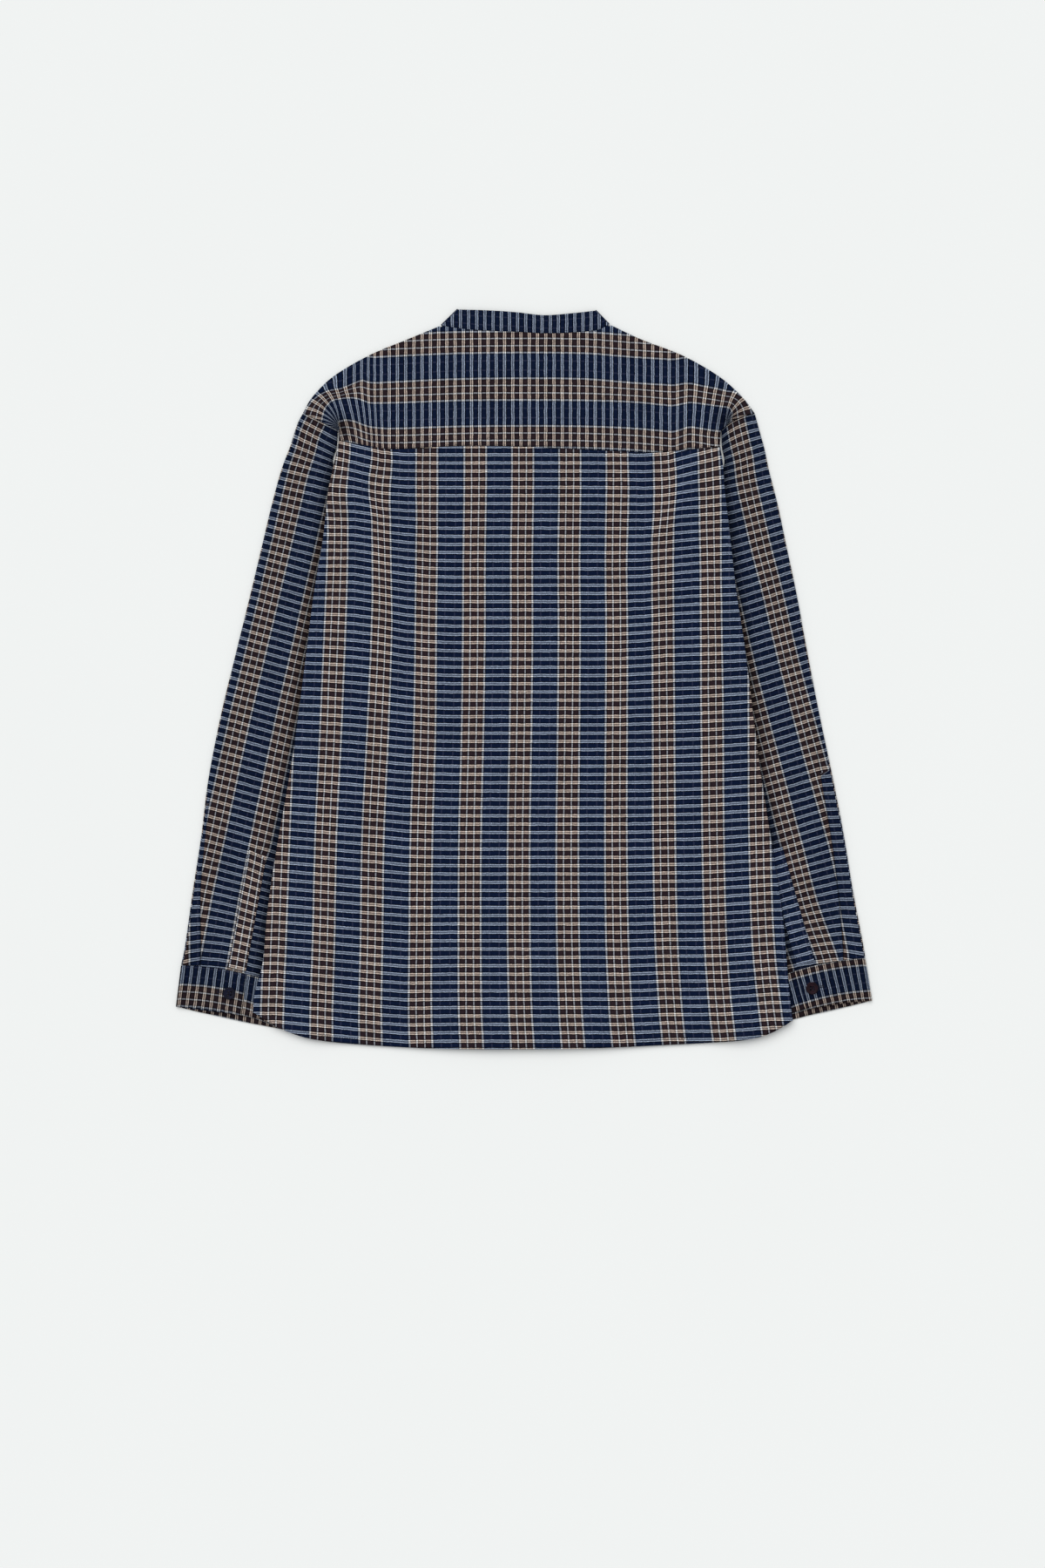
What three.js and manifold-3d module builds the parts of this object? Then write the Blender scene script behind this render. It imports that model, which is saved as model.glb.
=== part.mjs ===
// A band-collar shirt of yarn-dyed cloth, laid face down with its sleeves beside it.
// X runs to the right as it lies, Y towards the collar, Z up from the surface it lies on.
// The origin is on that surface, under the middle of the shirt's outline.
// All sizes are in millimetres. With the back on top, left and right are the wearer's own.

import * as THREE from 'three';
import { mergeVertices } from 'three/addons/utils/BufferGeometryUtils.js';
import Module from 'manifold-3d';

const wasm = await Module();
wasm.setup();

// Driving dimensions

const WALL = 1.2;
const STRIP_WALL = 1.0;
const SEAM_GAP = 0.3;
const ARMHOLE_GAP = 0.8;
const LAYER_GAP = 0.6;

// Heights of the middle of the cloth in a flattened tube, and the fold that joins them
const LOWER = WALL / 2;
const UPPER = LOWER + WALL + LAYER_GAP;
const MIDDLE = (LOWER + UPPER) / 2;
const FOLD_RADIUS = (UPPER - LOWER) / 2;
const FOLD_REACH = FOLD_RADIUS + WALL / 2;
const FOLD_ANGLES = [45, 0, -45];
const SIDE_ROLL_ANGLE = 50;

// The centre front lies lowest: buttons, placket, right front, then the back
const PLACKET_HALF = 16;
const FRONT_OVERLAP = 14;
const BUTTON_HEIGHT = 2.4;
const BUTTON_RADIUS = 6.5;
const RISE_LEFT = BUTTON_HEIGHT + SEAM_GAP;
const RISE_RIGHT = RISE_LEFT + WALL + SEAM_GAP;
const RISE_BACK = RISE_RIGHT - LAYER_GAP + SEAM_GAP + 0.1;
const RISE_CLEAR = 11;
const RISE_RUN = 29;
const BACK_RUN = 130;

// The body's sides lie on the sleeves; the right side lies on the sleeve placket too
const LIFT_LEFT = UPPER + WALL / 2 + 0.5;
const LIFT_RIGHT = LIFT_LEFT + STRIP_WALL + SEAM_GAP;
const FRONT_LIFT = { clear: 12, run: 34, seamStart: 4, seamEnd: 22 };
const BACK_LIFT = { clear: 17, run: 56, seamStart: 0.5, seamEnd: 18 };

// How finely the body panels are divided
const CLIMB_ROWS = 5;
const BODY_ROWS = 12;
const ROW_CROWDING = 1.15;
const BACK_COLUMNS = 28;
const CLIMB = 24;
const PLACKET_ROWS = 14;

// The front neckline and the band collar inside it
const NECK_Y = 338.5;
const NECK_DEPTH = 46;
const NECK_HALF = { left: 72.5, right: 75.7 };
const COLLAR_TOP_Y = 347.5;
const COLLAR_TOP_DEPTH = 31.5;
const COLLAR_TOP_HALF = { left: 49.5, right: 50.5 };
const COLLAR_END_ANGLE = 101;
const COLLAR_END_STEP = 10;
const COLLAR_FOLD_SHARE = 0.012;
const COLLAR_OUTWARD = { left: { x: -0.71, y: 0.71 }, right: { x: 0.79, y: 0.61 } };

// The yoke rises behind the collar's front, from just above its top edge
const NECK_RISE_START = COLLAR_TOP_Y + 12;
const NECK_RISE_FULL = COLLAR_TOP_Y - COLLAR_TOP_DEPTH + 6;

// The shirt tails: the front hem ends a little above the back hem
const FRONT_HEM_RISE = 8;
const HEM_CORNER_RUN = 60;
const ARMHOLE_DROP = 2;

// Front buttons, from the collar down
const FRONT_BUTTON_COUNT = 6;
const FRONT_BUTTON_TOP = 227;
const FRONT_BUTTON_SPACING = 92;
const COLLAR_BUTTON_Y = 304.5;

// The body's two edges, where it lies on the sleeves, a row for each height
const BODY_EDGES = [
  { y: 262, left: -195, right: 206 },
  { y: 250, left: -196, right: 207 },
  { y: 225, left: -201, right: 210 },
  { y: 200, left: -206.5, right: 212 },
  { y: 147, left: -212.5, right: 218 },
  { y: 94, left: -221.5, right: 224 },
  { y: 27, left: -230, right: 234 },
  { y: -55, left: -240.5, right: 244 },
  { y: -110, left: -249, right: 251.5 },
  { y: -190, left: -263, right: 264 },
  { y: -250, left: -271.5, right: 273 },
  { y: -300, left: -276, right: 277.5 },
  { y: -335, left: -285, right: 280.5 },
  { y: -360, left: -286, right: 283.5 },
];

// The seam between the back and the yoke, from left to right
const YOKE_SEAM = [
  { x: -196, y: 252 },
  { x: -162, y: 245.5 },
  { x: -141, y: 242.5 },
  { x: -66, y: 245.5 },
  { x: 2, y: 244.5 },
  { x: 90, y: 240.5 },
  { x: 137, y: 239 },
  { x: 172, y: 242 },
  { x: 207, y: 245.5 },
];

// The back hem, from one rounded corner to the other
const HEM = [
  { x: -286, y: -352 },
  { x: -277.5, y: -357.5 },
  { x: -258.5, y: -369 },
  { x: -224.5, y: -380.5 },
  { x: -167, y: -387 },
  { x: -80, y: -391 },
  { x: 63, y: -390.5 },
  { x: 143, y: -387.5 },
  { x: 220, y: -383 },
  { x: 246, y: -379 },
  { x: 261.5, y: -373.5 },
  { x: 275, y: -366 },
  { x: 283, y: -360.5 },
];

// The yoke folds over each shoulder; a row gives the fold and the front seam under it
const SHOULDER = {
  left: [
    { foldX: -233.5, foldY: 281, seamX: -197, seamY: 263 },
    { foldX: -223.5, foldY: 298, seamX: -188, seamY: 276.5 },
    { foldX: -201, foldY: 320, seamX: -173.5, seamY: 291.5 },
    { foldX: -163.5, foldY: 342, seamX: -142.5, seamY: 309 },
    { foldX: -124, foldY: 358.5, seamX: -107.5, seamY: 322.5 },
    { foldX: -89.2, foldY: 372.8, seamX: -72.5, seamY: 338.5 },
  ],
  right: [
    { foldX: 244, foldY: 280, seamX: 209, seamY: 263 },
    { foldX: 230.5, foldY: 298, seamX: 199, seamY: 275.5 },
    { foldX: 205.5, foldY: 320, seamX: 180, seamY: 290.5 },
    { foldX: 167, foldY: 342, seamX: 146, seamY: 308.5 },
    { foldX: 124.5, foldY: 358.5, seamX: 108, seamY: 322.5 },
    { foldX: 91.8, foldY: 373.8, seamX: 75.7, seamY: 338.5 },
  ],
};

// The back neck seam and the collar's top edge above it
const NECK_SEAM = [
  { x: -89, y: 373.5 },
  { x: -62, y: 369.5 },
  { x: -34, y: 367.5 },
  { x: -7, y: 366.5 },
  { x: 22, y: 365 },
  { x: 54.5, y: 366 },
  { x: 79, y: 369 },
  { x: 91.5, y: 375.5 },
];
const COLLAR_TOP = [
  { x: -71.5, y: 390 },
  { x: -36, y: 389 },
  { x: -7, y: 387 },
  { x: 21, y: 384 },
  { x: 50, y: 386 },
  { x: 77, y: 389 },
];

// Sleeve sections from the armhole to the cuff: the outer edge, then the one hidden by the body.
// bow lifts the middle of a section; fold is the pleat's distance from the edge, ledge its step.
const SLEEVE = {
  left: [
    { outerX: -233.5, outerY: 281, innerX: -196.4, innerY: 262.8, bow: 0, fold: 5, ledge: 0 },
    { outerX: -240, outerY: 268, innerX: -197.6, innerY: 245, bow: 0, fold: 5, ledge: 0 },
    { outerX: -247, outerY: 246, innerX: -201.2, innerY: 227, bow: 0, fold: 5, ledge: 0 },
    { outerX: -256.5, outerY: 220.5, innerX: -186, innerY: 200, bow: 0, fold: 5, ledge: 0 },
    { outerX: -266.5, outerY: 184, innerX: -163, innerY: 159, bow: 0, fold: 5, ledge: 0 },
    { outerX: -277.5, outerY: 138, innerX: -140, innerY: 105, bow: 0, fold: 5, ledge: 0 },
    { outerX: -288.5, outerY: 92, innerX: -124, innerY: 50, bow: 0, fold: 5, ledge: 0 },
    { outerX: -304.5, outerY: 27, innerX: -129, innerY: -14, bow: 0, fold: 5, ledge: 0 },
    { outerX: -320, outerY: -37, innerX: -149, innerY: -79, bow: 0, fold: 5, ledge: 0 },
    { outerX: -333.5, outerY: -106, innerX: -174.5, innerY: -146, bow: 0, fold: 5, ledge: 0 },
    { outerX: -341, outerY: -166, innerX: -198.5, innerY: -207, bow: 0, fold: 5, ledge: 0.8 },
    { outerX: -349.5, outerY: -221, innerX: -222.5, innerY: -260, bow: 1, fold: 9, ledge: 1 },
    { outerX: -358, outerY: -281, innerX: -243.5, innerY: -308, bow: 4, fold: 17.5, ledge: 1 },
    { outerX: -362.3, outerY: -302, innerX: -250, innerY: -327, bow: 6, fold: 21, ledge: 1 },
  ],
  right: [
    { outerX: 244, outerY: 280, innerX: 208.4, innerY: 262.8, bow: 3.4, fold: 5, ledge: 0 },
    { outerX: 248.8, outerY: 262, innerX: 208.9, innerY: 244, bow: 2, fold: 5, ledge: 0 },
    { outerX: 254, outerY: 243, innerX: 210.9, innerY: 225, bow: 0, fold: 5, ledge: 0 },
    { outerX: 259, outerY: 219.5, innerX: 197, innerY: 197, bow: 0, fold: 5, ledge: 0 },
    { outerX: 268, outerY: 184, innerX: 173, innerY: 156, bow: 0, fold: 5, ledge: 0 },
    { outerX: 277.5, outerY: 139, innerX: 150, innerY: 103.5, bow: 0, fold: 5, ledge: 0 },
    { outerX: 287.5, outerY: 92, innerX: 132.5, innerY: 48.5, bow: 0, fold: 5, ledge: 0 },
    { outerX: 299.5, outerY: 27, innerX: 138, innerY: -16, bow: 0, fold: 6, ledge: 0 },
    { outerX: 312, outerY: -37, innerX: 158.5, innerY: -81, bow: 0, fold: 9, ledge: 0 },
    { outerX: 326.5, outerY: -106, innerX: 182.5, innerY: -146, bow: 0, fold: 13, ledge: 0.4 },
    { outerX: 338, outerY: -166, innerX: 204.5, innerY: -207, bow: 0, fold: 14.5, ledge: 1 },
    { outerX: 347, outerY: -221, innerX: 226.5, innerY: -260, bow: 1, fold: 16.5, ledge: 1 },
    { outerX: 358, outerY: -279, innerX: 248.5, innerY: -304, bow: 3, fold: 22, ledge: 1 },
    { outerX: 360.5, outerY: -294.5, innerX: 256, innerY: -319.5, bow: 5, fold: 24, ledge: 1 },
  ],
};
const LEDGE_WIDTH = 1;
const LEDGE_FADE = 25;

// Ribs across each cuff, from its outer fold to the hidden one: along is the place on the
// sleeve's end, then the lower ends of the upper layers and of the lowest layer.
const CUFF = {
  left: [
    { along: 0, upperX: -367.8, upperY: -345.5, lowerX: -367.8, lowerY: -345.5 },
    { along: 0.22, upperX: -343, upperY: -348.7, lowerX: -343, lowerY: -351.5 },
    { along: 0.44, upperX: -317.5, upperY: -351.8, lowerX: -317.5, lowerY: -357 },
    { along: 0.61, upperX: -298.7, upperY: -354.5, lowerX: -298, lowerY: -361.5 },
    { along: 0.8, upperX: -278.5, upperY: -359, lowerX: -276.5, lowerY: -365.5 },
    { along: 1, upperX: -256.5, upperY: -369.5, lowerX: -256.5, lowerY: -369.5 },
  ],
  right: [
    { along: 0, upperX: 367.7, upperY: -339.2, lowerX: 367.7, lowerY: -339.2 },
    { along: 0.24, upperX: 344.5, upperY: -341, lowerX: 344.5, lowerY: -345 },
    { along: 0.46, upperX: 321.5, upperY: -344.5, lowerX: 321.5, lowerY: -350.5 },
    { along: 0.69, upperX: 298.5, upperY: -348, lowerX: 298.5, lowerY: -355.5 },
    { along: 0.85, upperX: 281, upperY: -353, lowerX: 279.5, lowerY: -360.5 },
    { along: 1, upperX: 262.5, upperY: -364.5, lowerX: 262.5, lowerY: -364.5 },
  ],
};

// Places across a cuff are counted in ribs from its outer fold, in the order of its strip
const OVERLAP_PLACES = [3, 2.5, 2, 1.5, 1.3, 1.1, 0.5];
const OVERLAP_STEP = { from: 1.1, to: 1.5 };
const LOWEST_PLACES = [0.7, 1.5, 2.3, 3, 3.7, 4.4];
const UNDERLAP_PLACES = [4.4, 3.8, 3, 2.3, 1.6];

// The strip over each sleeve slit: its left and right edges, top and bottom
const SLEEVE_PLACKET = {
  left: [
    { leftX: -289.8, leftY: -180.5, rightX: -272, rightY: -188 },
    { leftX: -311.5, leftY: -304.3, rightX: -293.8, rightY: -308.3 },
  ],
  right: [
    { leftX: 254.2, leftY: -182.5, rightX: 272.6, rightY: -177 },
    { leftX: 287.7, leftY: -302.6, rightX: 306.4, rightY: -297.6 },
  ],
};
const CUFF_BUTTON = {
  left: { x: -310.7, y: -331.5 },
  right: { x: 303.8, y: -326 },
};

// The main folds of the back: each runs between two places and stands up by its height
const BACK_FOLDS = [
  { fromX: -186, fromY: 232, toX: -150, toY: 165, width: 17, height: 1.6 },
  { fromX: -152, fromY: 180, toX: -140, toY: 60, width: 15, height: 1.4 },
  { fromX: -118, fromY: 238, toX: -108, toY: 150, width: 16, height: 1.1 },
  { fromX: 178, fromY: 234, toX: 146, toY: 150, width: 17, height: 1.4 },
  { fromX: 118, fromY: 226, toX: 132, toY: 120, width: 16, height: 1.1 },
  { fromX: 196, fromY: 150, toX: 206, toY: 0, width: 15, height: 1.1 },
  { fromX: -206, fromY: 100, toX: -214, toY: -40, width: 15, height: 1.1 },
];

const RIDGE_END = { outside: 0.1, inside: 0.25 };

// Buttons: a dished face inside a rounded rim, with four holes
const BUTTON_SIDES = 16;
const BUTTON_FOOT = 0.8;
const BUTTON_BEVEL = 0.6;
const BUTTON_RIM = 1.6;
const BUTTON_DISH = 0.6;
const BUTTON_HOLE_RADIUS = 0.95;
const BUTTON_HOLE_OFFSET = 1.45;
const BUTTON_HOLE_SIDES = 6;

// Colours
const CLOTH = 0x4a505c;
const CLOTH_ROUGHNESS = 0.9;
const BUTTON_NAVY = 0x14182a;
const BUTTON_WINE = 0x241a20;
const BUTTON_ROUGHNESS = 0.3;

// Helpers

const SIDES = ['left', 'right'];
const signOf = { left: -1, right: 1 };
const lerp = THREE.MathUtils.lerp;
const degrees = THREE.MathUtils.degToRad;

function ramp(value, from, to) {
  const share = THREE.MathUtils.clamp((value - from) / (to - from), 0, 1);
  return share * share * (3 - 2 * share);
}

function steps(count) {
  return Array.from({ length: count + 1 }, (unused, index) => index / count);
}

// A smooth curve through the rows of a table: the value of one column at a place in another
function follow(rows, input, output, place) {
  const rising = rows[1][input] > rows[0][input];
  let first = 0;
  while (first < rows.length - 2 && (rows[first + 1][input] < place) === rising) first += 1;
  const slope = (index) => {
    const before = rows[Math.max(index - 1, 0)];
    const after = rows[Math.min(index + 1, rows.length - 1)];
    return (after[output] - before[output]) / (after[input] - before[input]);
  };
  const a = rows[first];
  const b = rows[first + 1];
  const span = b[input] - a[input];
  const t = THREE.MathUtils.clamp((place - a[input]) / span, 0, 1);
  const startWeight = 2 * t ** 3 - 3 * t ** 2 + 1;
  const bend = (t ** 3 - 2 * t ** 2 + t) * span * slope(first);
  const unbend = (t ** 3 - t ** 2) * span * slope(first + 1);
  return startWeight * a[output] + (1 - startWeight) * b[output] + bend + unbend;
}

function between(a, b, share) {
  return new THREE.Vector2(lerp(a.x, b.x, share), lerp(a.y, b.y, share));
}

// A grid of plan points inside four edges; top and bottom have one point for each place in
// across, left and right one for each place in down.
function fillPatch(edges, across, down) {
  const { top, bottom, left, right } = edges;
  const last = across.length - 1;
  return down.map((t, i) => across.map((s, j) => {
    const point = between(top[j], bottom[j], t);
    const leftPull = left[i].clone().sub(between(top[0], bottom[0], t));
    const rightPull = right[i].clone().sub(between(top[last], bottom[last], t));
    return point.addScaledVector(leftPull, 1 - s).addScaledVector(rightPull, s);
  }));
}

function raise(plan, height) {
  return plan.map((row) => row.map((p) => new THREE.Vector3(p.x, p.y, height(p.x, p.y))));
}

// A point on a fold: flat is the last flat point, outward points over the fold in plan, and
// angle goes from 90 degrees on the upper layer to -90 on the lower one.
function foldPoint(flat, outward, angle, lift = 0) {
  const turn = degrees(angle);
  const reach = FOLD_RADIUS * Math.cos(turn);
  const z = MIDDLE + lift + FOLD_RADIUS * Math.sin(turn);
  return new THREE.Vector3(flat.x + outward.x * reach, flat.y + outward.y * reach, z);
}

function outwardFrom(inner, outer) {
  return new THREE.Vector2(outer.x - inner.x, outer.y - inner.y).normalize();
}

// Cloth: a grid of points down the middle of the wall becomes a closed solid of even thickness.
// wraps joins the last column to the first, and isCloth leaves some squares of the grid out.
// A point may state the way that the cloth faces there, as at the end of a roll.
function clothWall(grid, thickness, { wraps = false, isCloth = () => true } = {}) {
  const columns = grid[0].length;
  const middle = grid.flat();
  const squares = [];
  for (let i = 0; i < grid.length - 1; i += 1) {
    for (let j = 0; j < (wraps ? columns : columns - 1); j += 1) {
      const next = (j + 1) % columns;
      const above = i * columns;
      const below = above + columns;
      if (isCloth(i, j)) squares.push([above + j, above + next, below + next, below + j]);
    }
  }
  const normals = middle.map(() => new THREE.Vector3());
  for (const [a, b, c, d] of squares) {
    const diagonal = middle[c].clone().sub(middle[a]);
    const crossing = middle[d].clone().sub(middle[b]);
    const facing = diagonal.cross(crossing);
    for (const corner of [a, b, c, d]) normals[corner].add(facing);
  }
  const facingAt = (vertex) => {
    const facing = normals[vertex].clone().normalize();
    const stated = middle[vertex].facing;
    return stated ? stated.clone().multiplyScalar(Math.sign(stated.dot(facing))) : facing;
  };
  const used = [...new Set(squares.flat())];
  const place = new Map(used.map((vertex, index) => [vertex, index]));
  const positions = [];
  for (const side of [1, -1]) {
    for (const vertex of used) {
      const offset = facingAt(vertex).multiplyScalar(side * thickness / 2);
      positions.push(...middle[vertex].clone().add(offset));
    }
  }
  const front = (vertex) => place.get(vertex);
  const rear = (vertex) => place.get(vertex) + used.length;
  const edges = new Map();
  const index = [];
  for (const square of squares) {
    const [a, b, c, d] = square;
    index.push(front(a), front(b), front(c), front(a), front(c), front(d));
    index.push(rear(a), rear(c), rear(b), rear(a), rear(d), rear(c));
    square.forEach((from, corner) => {
      const to = square[(corner + 1) % square.length];
      if (!edges.delete(`${to} ${from}`)) edges.set(`${from} ${to}`, [from, to]);
    });
  }
  for (const [from, to] of edges.values()) {
    index.push(front(from), rear(from), rear(to), front(from), rear(to), front(to));
  }
  const geometry = new THREE.BufferGeometry();
  geometry.setAttribute('position', new THREE.Float32BufferAttribute(positions, 3));
  geometry.setIndex(index);
  if (volumeOf(geometry) < 0) geometry.setIndex([...index].reverse());
  geometry.computeVertexNormals();
  return geometry;
}

function volumeOf(geometry) {
  const position = geometry.getAttribute('position');
  const order = geometry.getIndex();
  const [a, b, c] = [new THREE.Vector3(), new THREE.Vector3(), new THREE.Vector3()];
  let volume = 0;
  for (let k = 0; k < order.count; k += 3) {
    a.fromBufferAttribute(position, order.getX(k));
    b.fromBufferAttribute(position, order.getX(k + 1));
    c.fromBufferAttribute(position, order.getX(k + 2));
    volume += a.dot(b.cross(c)) / 6;
  }
  return volume;
}

// Heights of the layers

function sleeveInnerX(side, y) {
  return follow(SLEEVE[side], 'innerY', 'innerX', y);
}

// How far the body is lifted by the sleeve under it: nothing at the yoke seam or in the middle
function bodyLift(x, y, layer) {
  const side = x < 0 ? 'left' : 'right';
  const full = side === 'left' ? LIFT_LEFT : LIFT_RIGHT;
  const inwards = (sleeveInnerX(side, y) - x) * signOf[side];
  const start = follow(YOKE_SEAM, 'x', 'y', x);
  const fromSeam = ramp(start - y, layer.seamStart, layer.seamEnd);
  return full * fromSeam * (1 - ramp(inwards, layer.clear, layer.clear + layer.run));
}

function riseLeft(x) {
  return RISE_LEFT * ramp(x, -PLACKET_HALF - RISE_RUN, -PLACKET_HALF - 1);
}

function riseRight(x) {
  const start = PLACKET_HALF + RISE_CLEAR;
  return RISE_RIGHT * (1 - ramp(x, start, start + RISE_RUN));
}

function riseBack(x, y) {
  const start = PLACKET_HALF + RISE_CLEAR;
  const acrossBack = 1 - ramp(Math.abs(x), start, start + BACK_RUN);
  const belowNeck = 1 - ramp(y, NECK_RISE_FULL, NECK_RISE_START);
  return RISE_BACK * acrossBack * belowNeck;
}

// A soft ridge between two places, fading out at its ends
function ridge(fold, x, y) {
  const run = new THREE.Vector2(fold.toX - fold.fromX, fold.toY - fold.fromY);
  const length = run.length();
  run.normalize();
  const offset = new THREE.Vector2(x - fold.fromX, y - fold.fromY);
  const along = offset.dot(run) / length;
  const aside = offset.cross(run) / fold.width;
  const { outside, inside } = RIDGE_END;
  const fade = ramp(along, -outside, inside) * (1 - ramp(along, 1 - inside, 1 + outside));
  return fold.height * fade * Math.exp(-aside * aside);
}

function backHeight(x, y) {
  const folds = BACK_FOLDS.reduce((total, fold) => total + ridge(fold, x, y), 0);
  return UPPER + bodyLift(x, y, BACK_LIFT) + riseBack(x, y) + folds;
}

// Plan curves of the body

function bodyEdge(side, y) {
  const x = follow(BODY_EDGES, 'y', side, y);
  return new THREE.Vector2(x - signOf[side] * FOLD_REACH, y);
}

function hemY(x) {
  return follow(HEM, 'x', 'y', x);
}

function frontHemY(x) {
  const [start, end] = [HEM[0], HEM[HEM.length - 1]];
  const fromCorner = Math.min(x - start.x, end.x - x);
  return hemY(x) + FRONT_HEM_RISE * ramp(fromCorner, 0, HEM_CORNER_RUN);
}

function neckline(side, angle, gap = 0) {
  const turn = degrees(angle);
  const x = signOf[side] * (NECK_HALF[side] - gap) * Math.cos(turn);
  return new THREE.Vector2(x, NECK_Y - (NECK_DEPTH - gap) * Math.sin(turn));
}

// Places on the neckline that the front panel and the collar share, down to the front's edge
function neckAngles(side) {
  const edge = side === 'left' ? PLACKET_HALF + SEAM_GAP : -FRONT_OVERLAP;
  const last = THREE.MathUtils.radToDeg(Math.acos(edge / NECK_HALF[side]));
  return steps(5).map((share) => share * last);
}

function necklineY(x) {
  const half = x < 0 ? NECK_HALF.left : NECK_HALF.right;
  return NECK_Y - NECK_DEPTH * Math.sqrt(1 - (x / half) ** 2);
}

function collarTopFront(side, angle) {
  const turn = degrees(angle);
  const x = signOf[side] * COLLAR_TOP_HALF[side] * Math.cos(turn);
  return new THREE.Vector2(x, COLLAR_TOP_Y - COLLAR_TOP_DEPTH * Math.sin(turn));
}

// Heights of the rows at a side edge, close together where the body climbs onto the sleeves
function sideRows(side) {
  const seam = side === 'left' ? YOKE_SEAM[0] : YOKE_SEAM[YOKE_SEAM.length - 1];
  const corner = side === 'left' ? HEM[0] : HEM[HEM.length - 1];
  return rowShares().map((t) => lerp(seam.y - SEAM_GAP, corner.y, t));
}

function rowShares() {
  const climb = CLIMB / (YOKE_SEAM[0].y - HEM[0].y);
  const close = steps(CLIMB_ROWS).map((t) => t * climb);
  const wide = steps(BODY_ROWS).slice(1).map((t) => lerp(climb, 1, t ** ROW_CROWDING));
  return [...close, ...wide];
}

// The roll of a panel's side edge, straight out to the side, down to the side seam or up to it
function sideRoll(flat, isBack, layer) {
  const outward = new THREE.Vector2(Math.sign(flat.x), 0);
  const seamAngle = THREE.MathUtils.radToDeg(Math.asin(SEAM_GAP / 2 / FOLD_RADIUS));
  const angles = isBack ? [SIDE_ROLL_ANGLE, seamAngle] : [-SIDE_ROLL_ANGLE, -seamAngle];
  const lift = bodyLift(flat.x, flat.y, layer);
  const roll = angles.map((angle) => foldPoint(flat, outward, angle, lift));
  roll[1].facing = new THREE.Vector3(outward.x, 0, 0);
  return roll;
}

// The pieces

function makeBack() {
  const across = steps(BACK_COLUMNS);
  const down = rowShares();
  const [start, end] = [HEM[0], HEM[HEM.length - 1]];
  const seamStart = YOKE_SEAM[0];
  const seamEnd = YOKE_SEAM[YOKE_SEAM.length - 1];
  const top = across.map((s) => {
    const x = lerp(seamStart.x + FOLD_REACH, seamEnd.x - FOLD_REACH, s);
    return new THREE.Vector2(x, follow(YOKE_SEAM, 'x', 'y', x) - SEAM_GAP);
  });
  const bottom = across.map((s) => {
    const x = lerp(start.x + FOLD_REACH, end.x - FOLD_REACH, s);
    return new THREE.Vector2(x, hemY(x));
  });
  const left = sideRows('left').map((y) => bodyEdge('left', y));
  const right = sideRows('right').map((y) => bodyEdge('right', y));
  const plan = fillPatch({ top, bottom, left, right }, across, down);
  const grid = raise(plan, backHeight).map((row) => {
    const leftRoll = sideRoll(row[0], true, BACK_LIFT);
    const rightRoll = sideRoll(row[row.length - 1], true, BACK_LIFT);
    return [...leftRoll.reverse(), ...row, ...rightRoll];
  });
  return clothWall(grid, WALL);
}

// One front panel, from its side edge to its centre edge
function makeFront(side) {
  const sign = signOf[side];
  const centreX = side === 'left' ? -PLACKET_HALF - SEAM_GAP : -FRONT_OVERLAP;
  const rise = side === 'left' ? riseLeft : riseRight;
  const seamPoints = SHOULDER[side].map((row) => {
    const inward = outwardFrom({ x: row.foldX, y: row.foldY }, { x: row.seamX, y: row.seamY });
    return new THREE.Vector2(row.seamX, row.seamY).addScaledVector(inward, SEAM_GAP / 2);
  });
  seamPoints[0] = bodyEdge(side, SHOULDER[side][0].seamY - ARMHOLE_DROP);
  const seam = seamPoints.flatMap((point, k) => {
    const next = seamPoints[k + 1];
    return next ? [point, between(point, next, 0.5)] : [point];
  });
  const neck = neckAngles(side).slice(1).map((angle) => neckline(side, angle));
  const edge = [...seam, ...neck];
  const run = edge[edge.length - 1].x - edge[0].x;
  const across = edge.map((point) => (point.x - edge[0].x) / run);
  const hemStart = side === 'left' ? HEM[0] : HEM[HEM.length - 1];
  const down = rowShares();
  const outer = sideRows(side).map((y) => bodyEdge(side, y));
  const top = across.map((s) => {
    const x = lerp(outer[0].x, centreX, s);
    return new THREE.Vector2(x, follow(YOKE_SEAM, 'x', 'y', x) - SEAM_GAP);
  });
  const bottom = across.map((s) => {
    const x = lerp(hemStart.x - sign * FOLD_REACH, centreX, s);
    return new THREE.Vector2(x, frontHemY(x));
  });
  const topY = top[top.length - 1].y;
  const inner = down.map((t) => new THREE.Vector2(centreX, lerp(topY, frontHemY(centreX), t)));
  const lowerPlan = fillPatch({ top, bottom, left: outer, right: inner }, across, down);
  const halfway = edge.map((point, j) => between(point, top[j], 0.5));
  const plan = [edge, halfway, ...lowerPlan];
  const height = (x, y) => LOWER + bodyLift(x, y, FRONT_LIFT) + rise(x);
  const grid = raise(plan, height).map((row) => {
    const roll = sideRoll(row[0], false, FRONT_LIFT);
    return [...roll.reverse(), ...row];
  });
  return clothWall(grid, WALL);
}

function makeFrontPlacket() {
  const grid = steps(PLACKET_ROWS).map((t) => [-PLACKET_HALF, 0, PLACKET_HALF].map((x) => {
    const y = lerp(necklineY(x), frontHemY(x), t);
    return new THREE.Vector3(x, y, LOWER + RISE_LEFT);
  }));
  return clothWall(grid, WALL);
}

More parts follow.
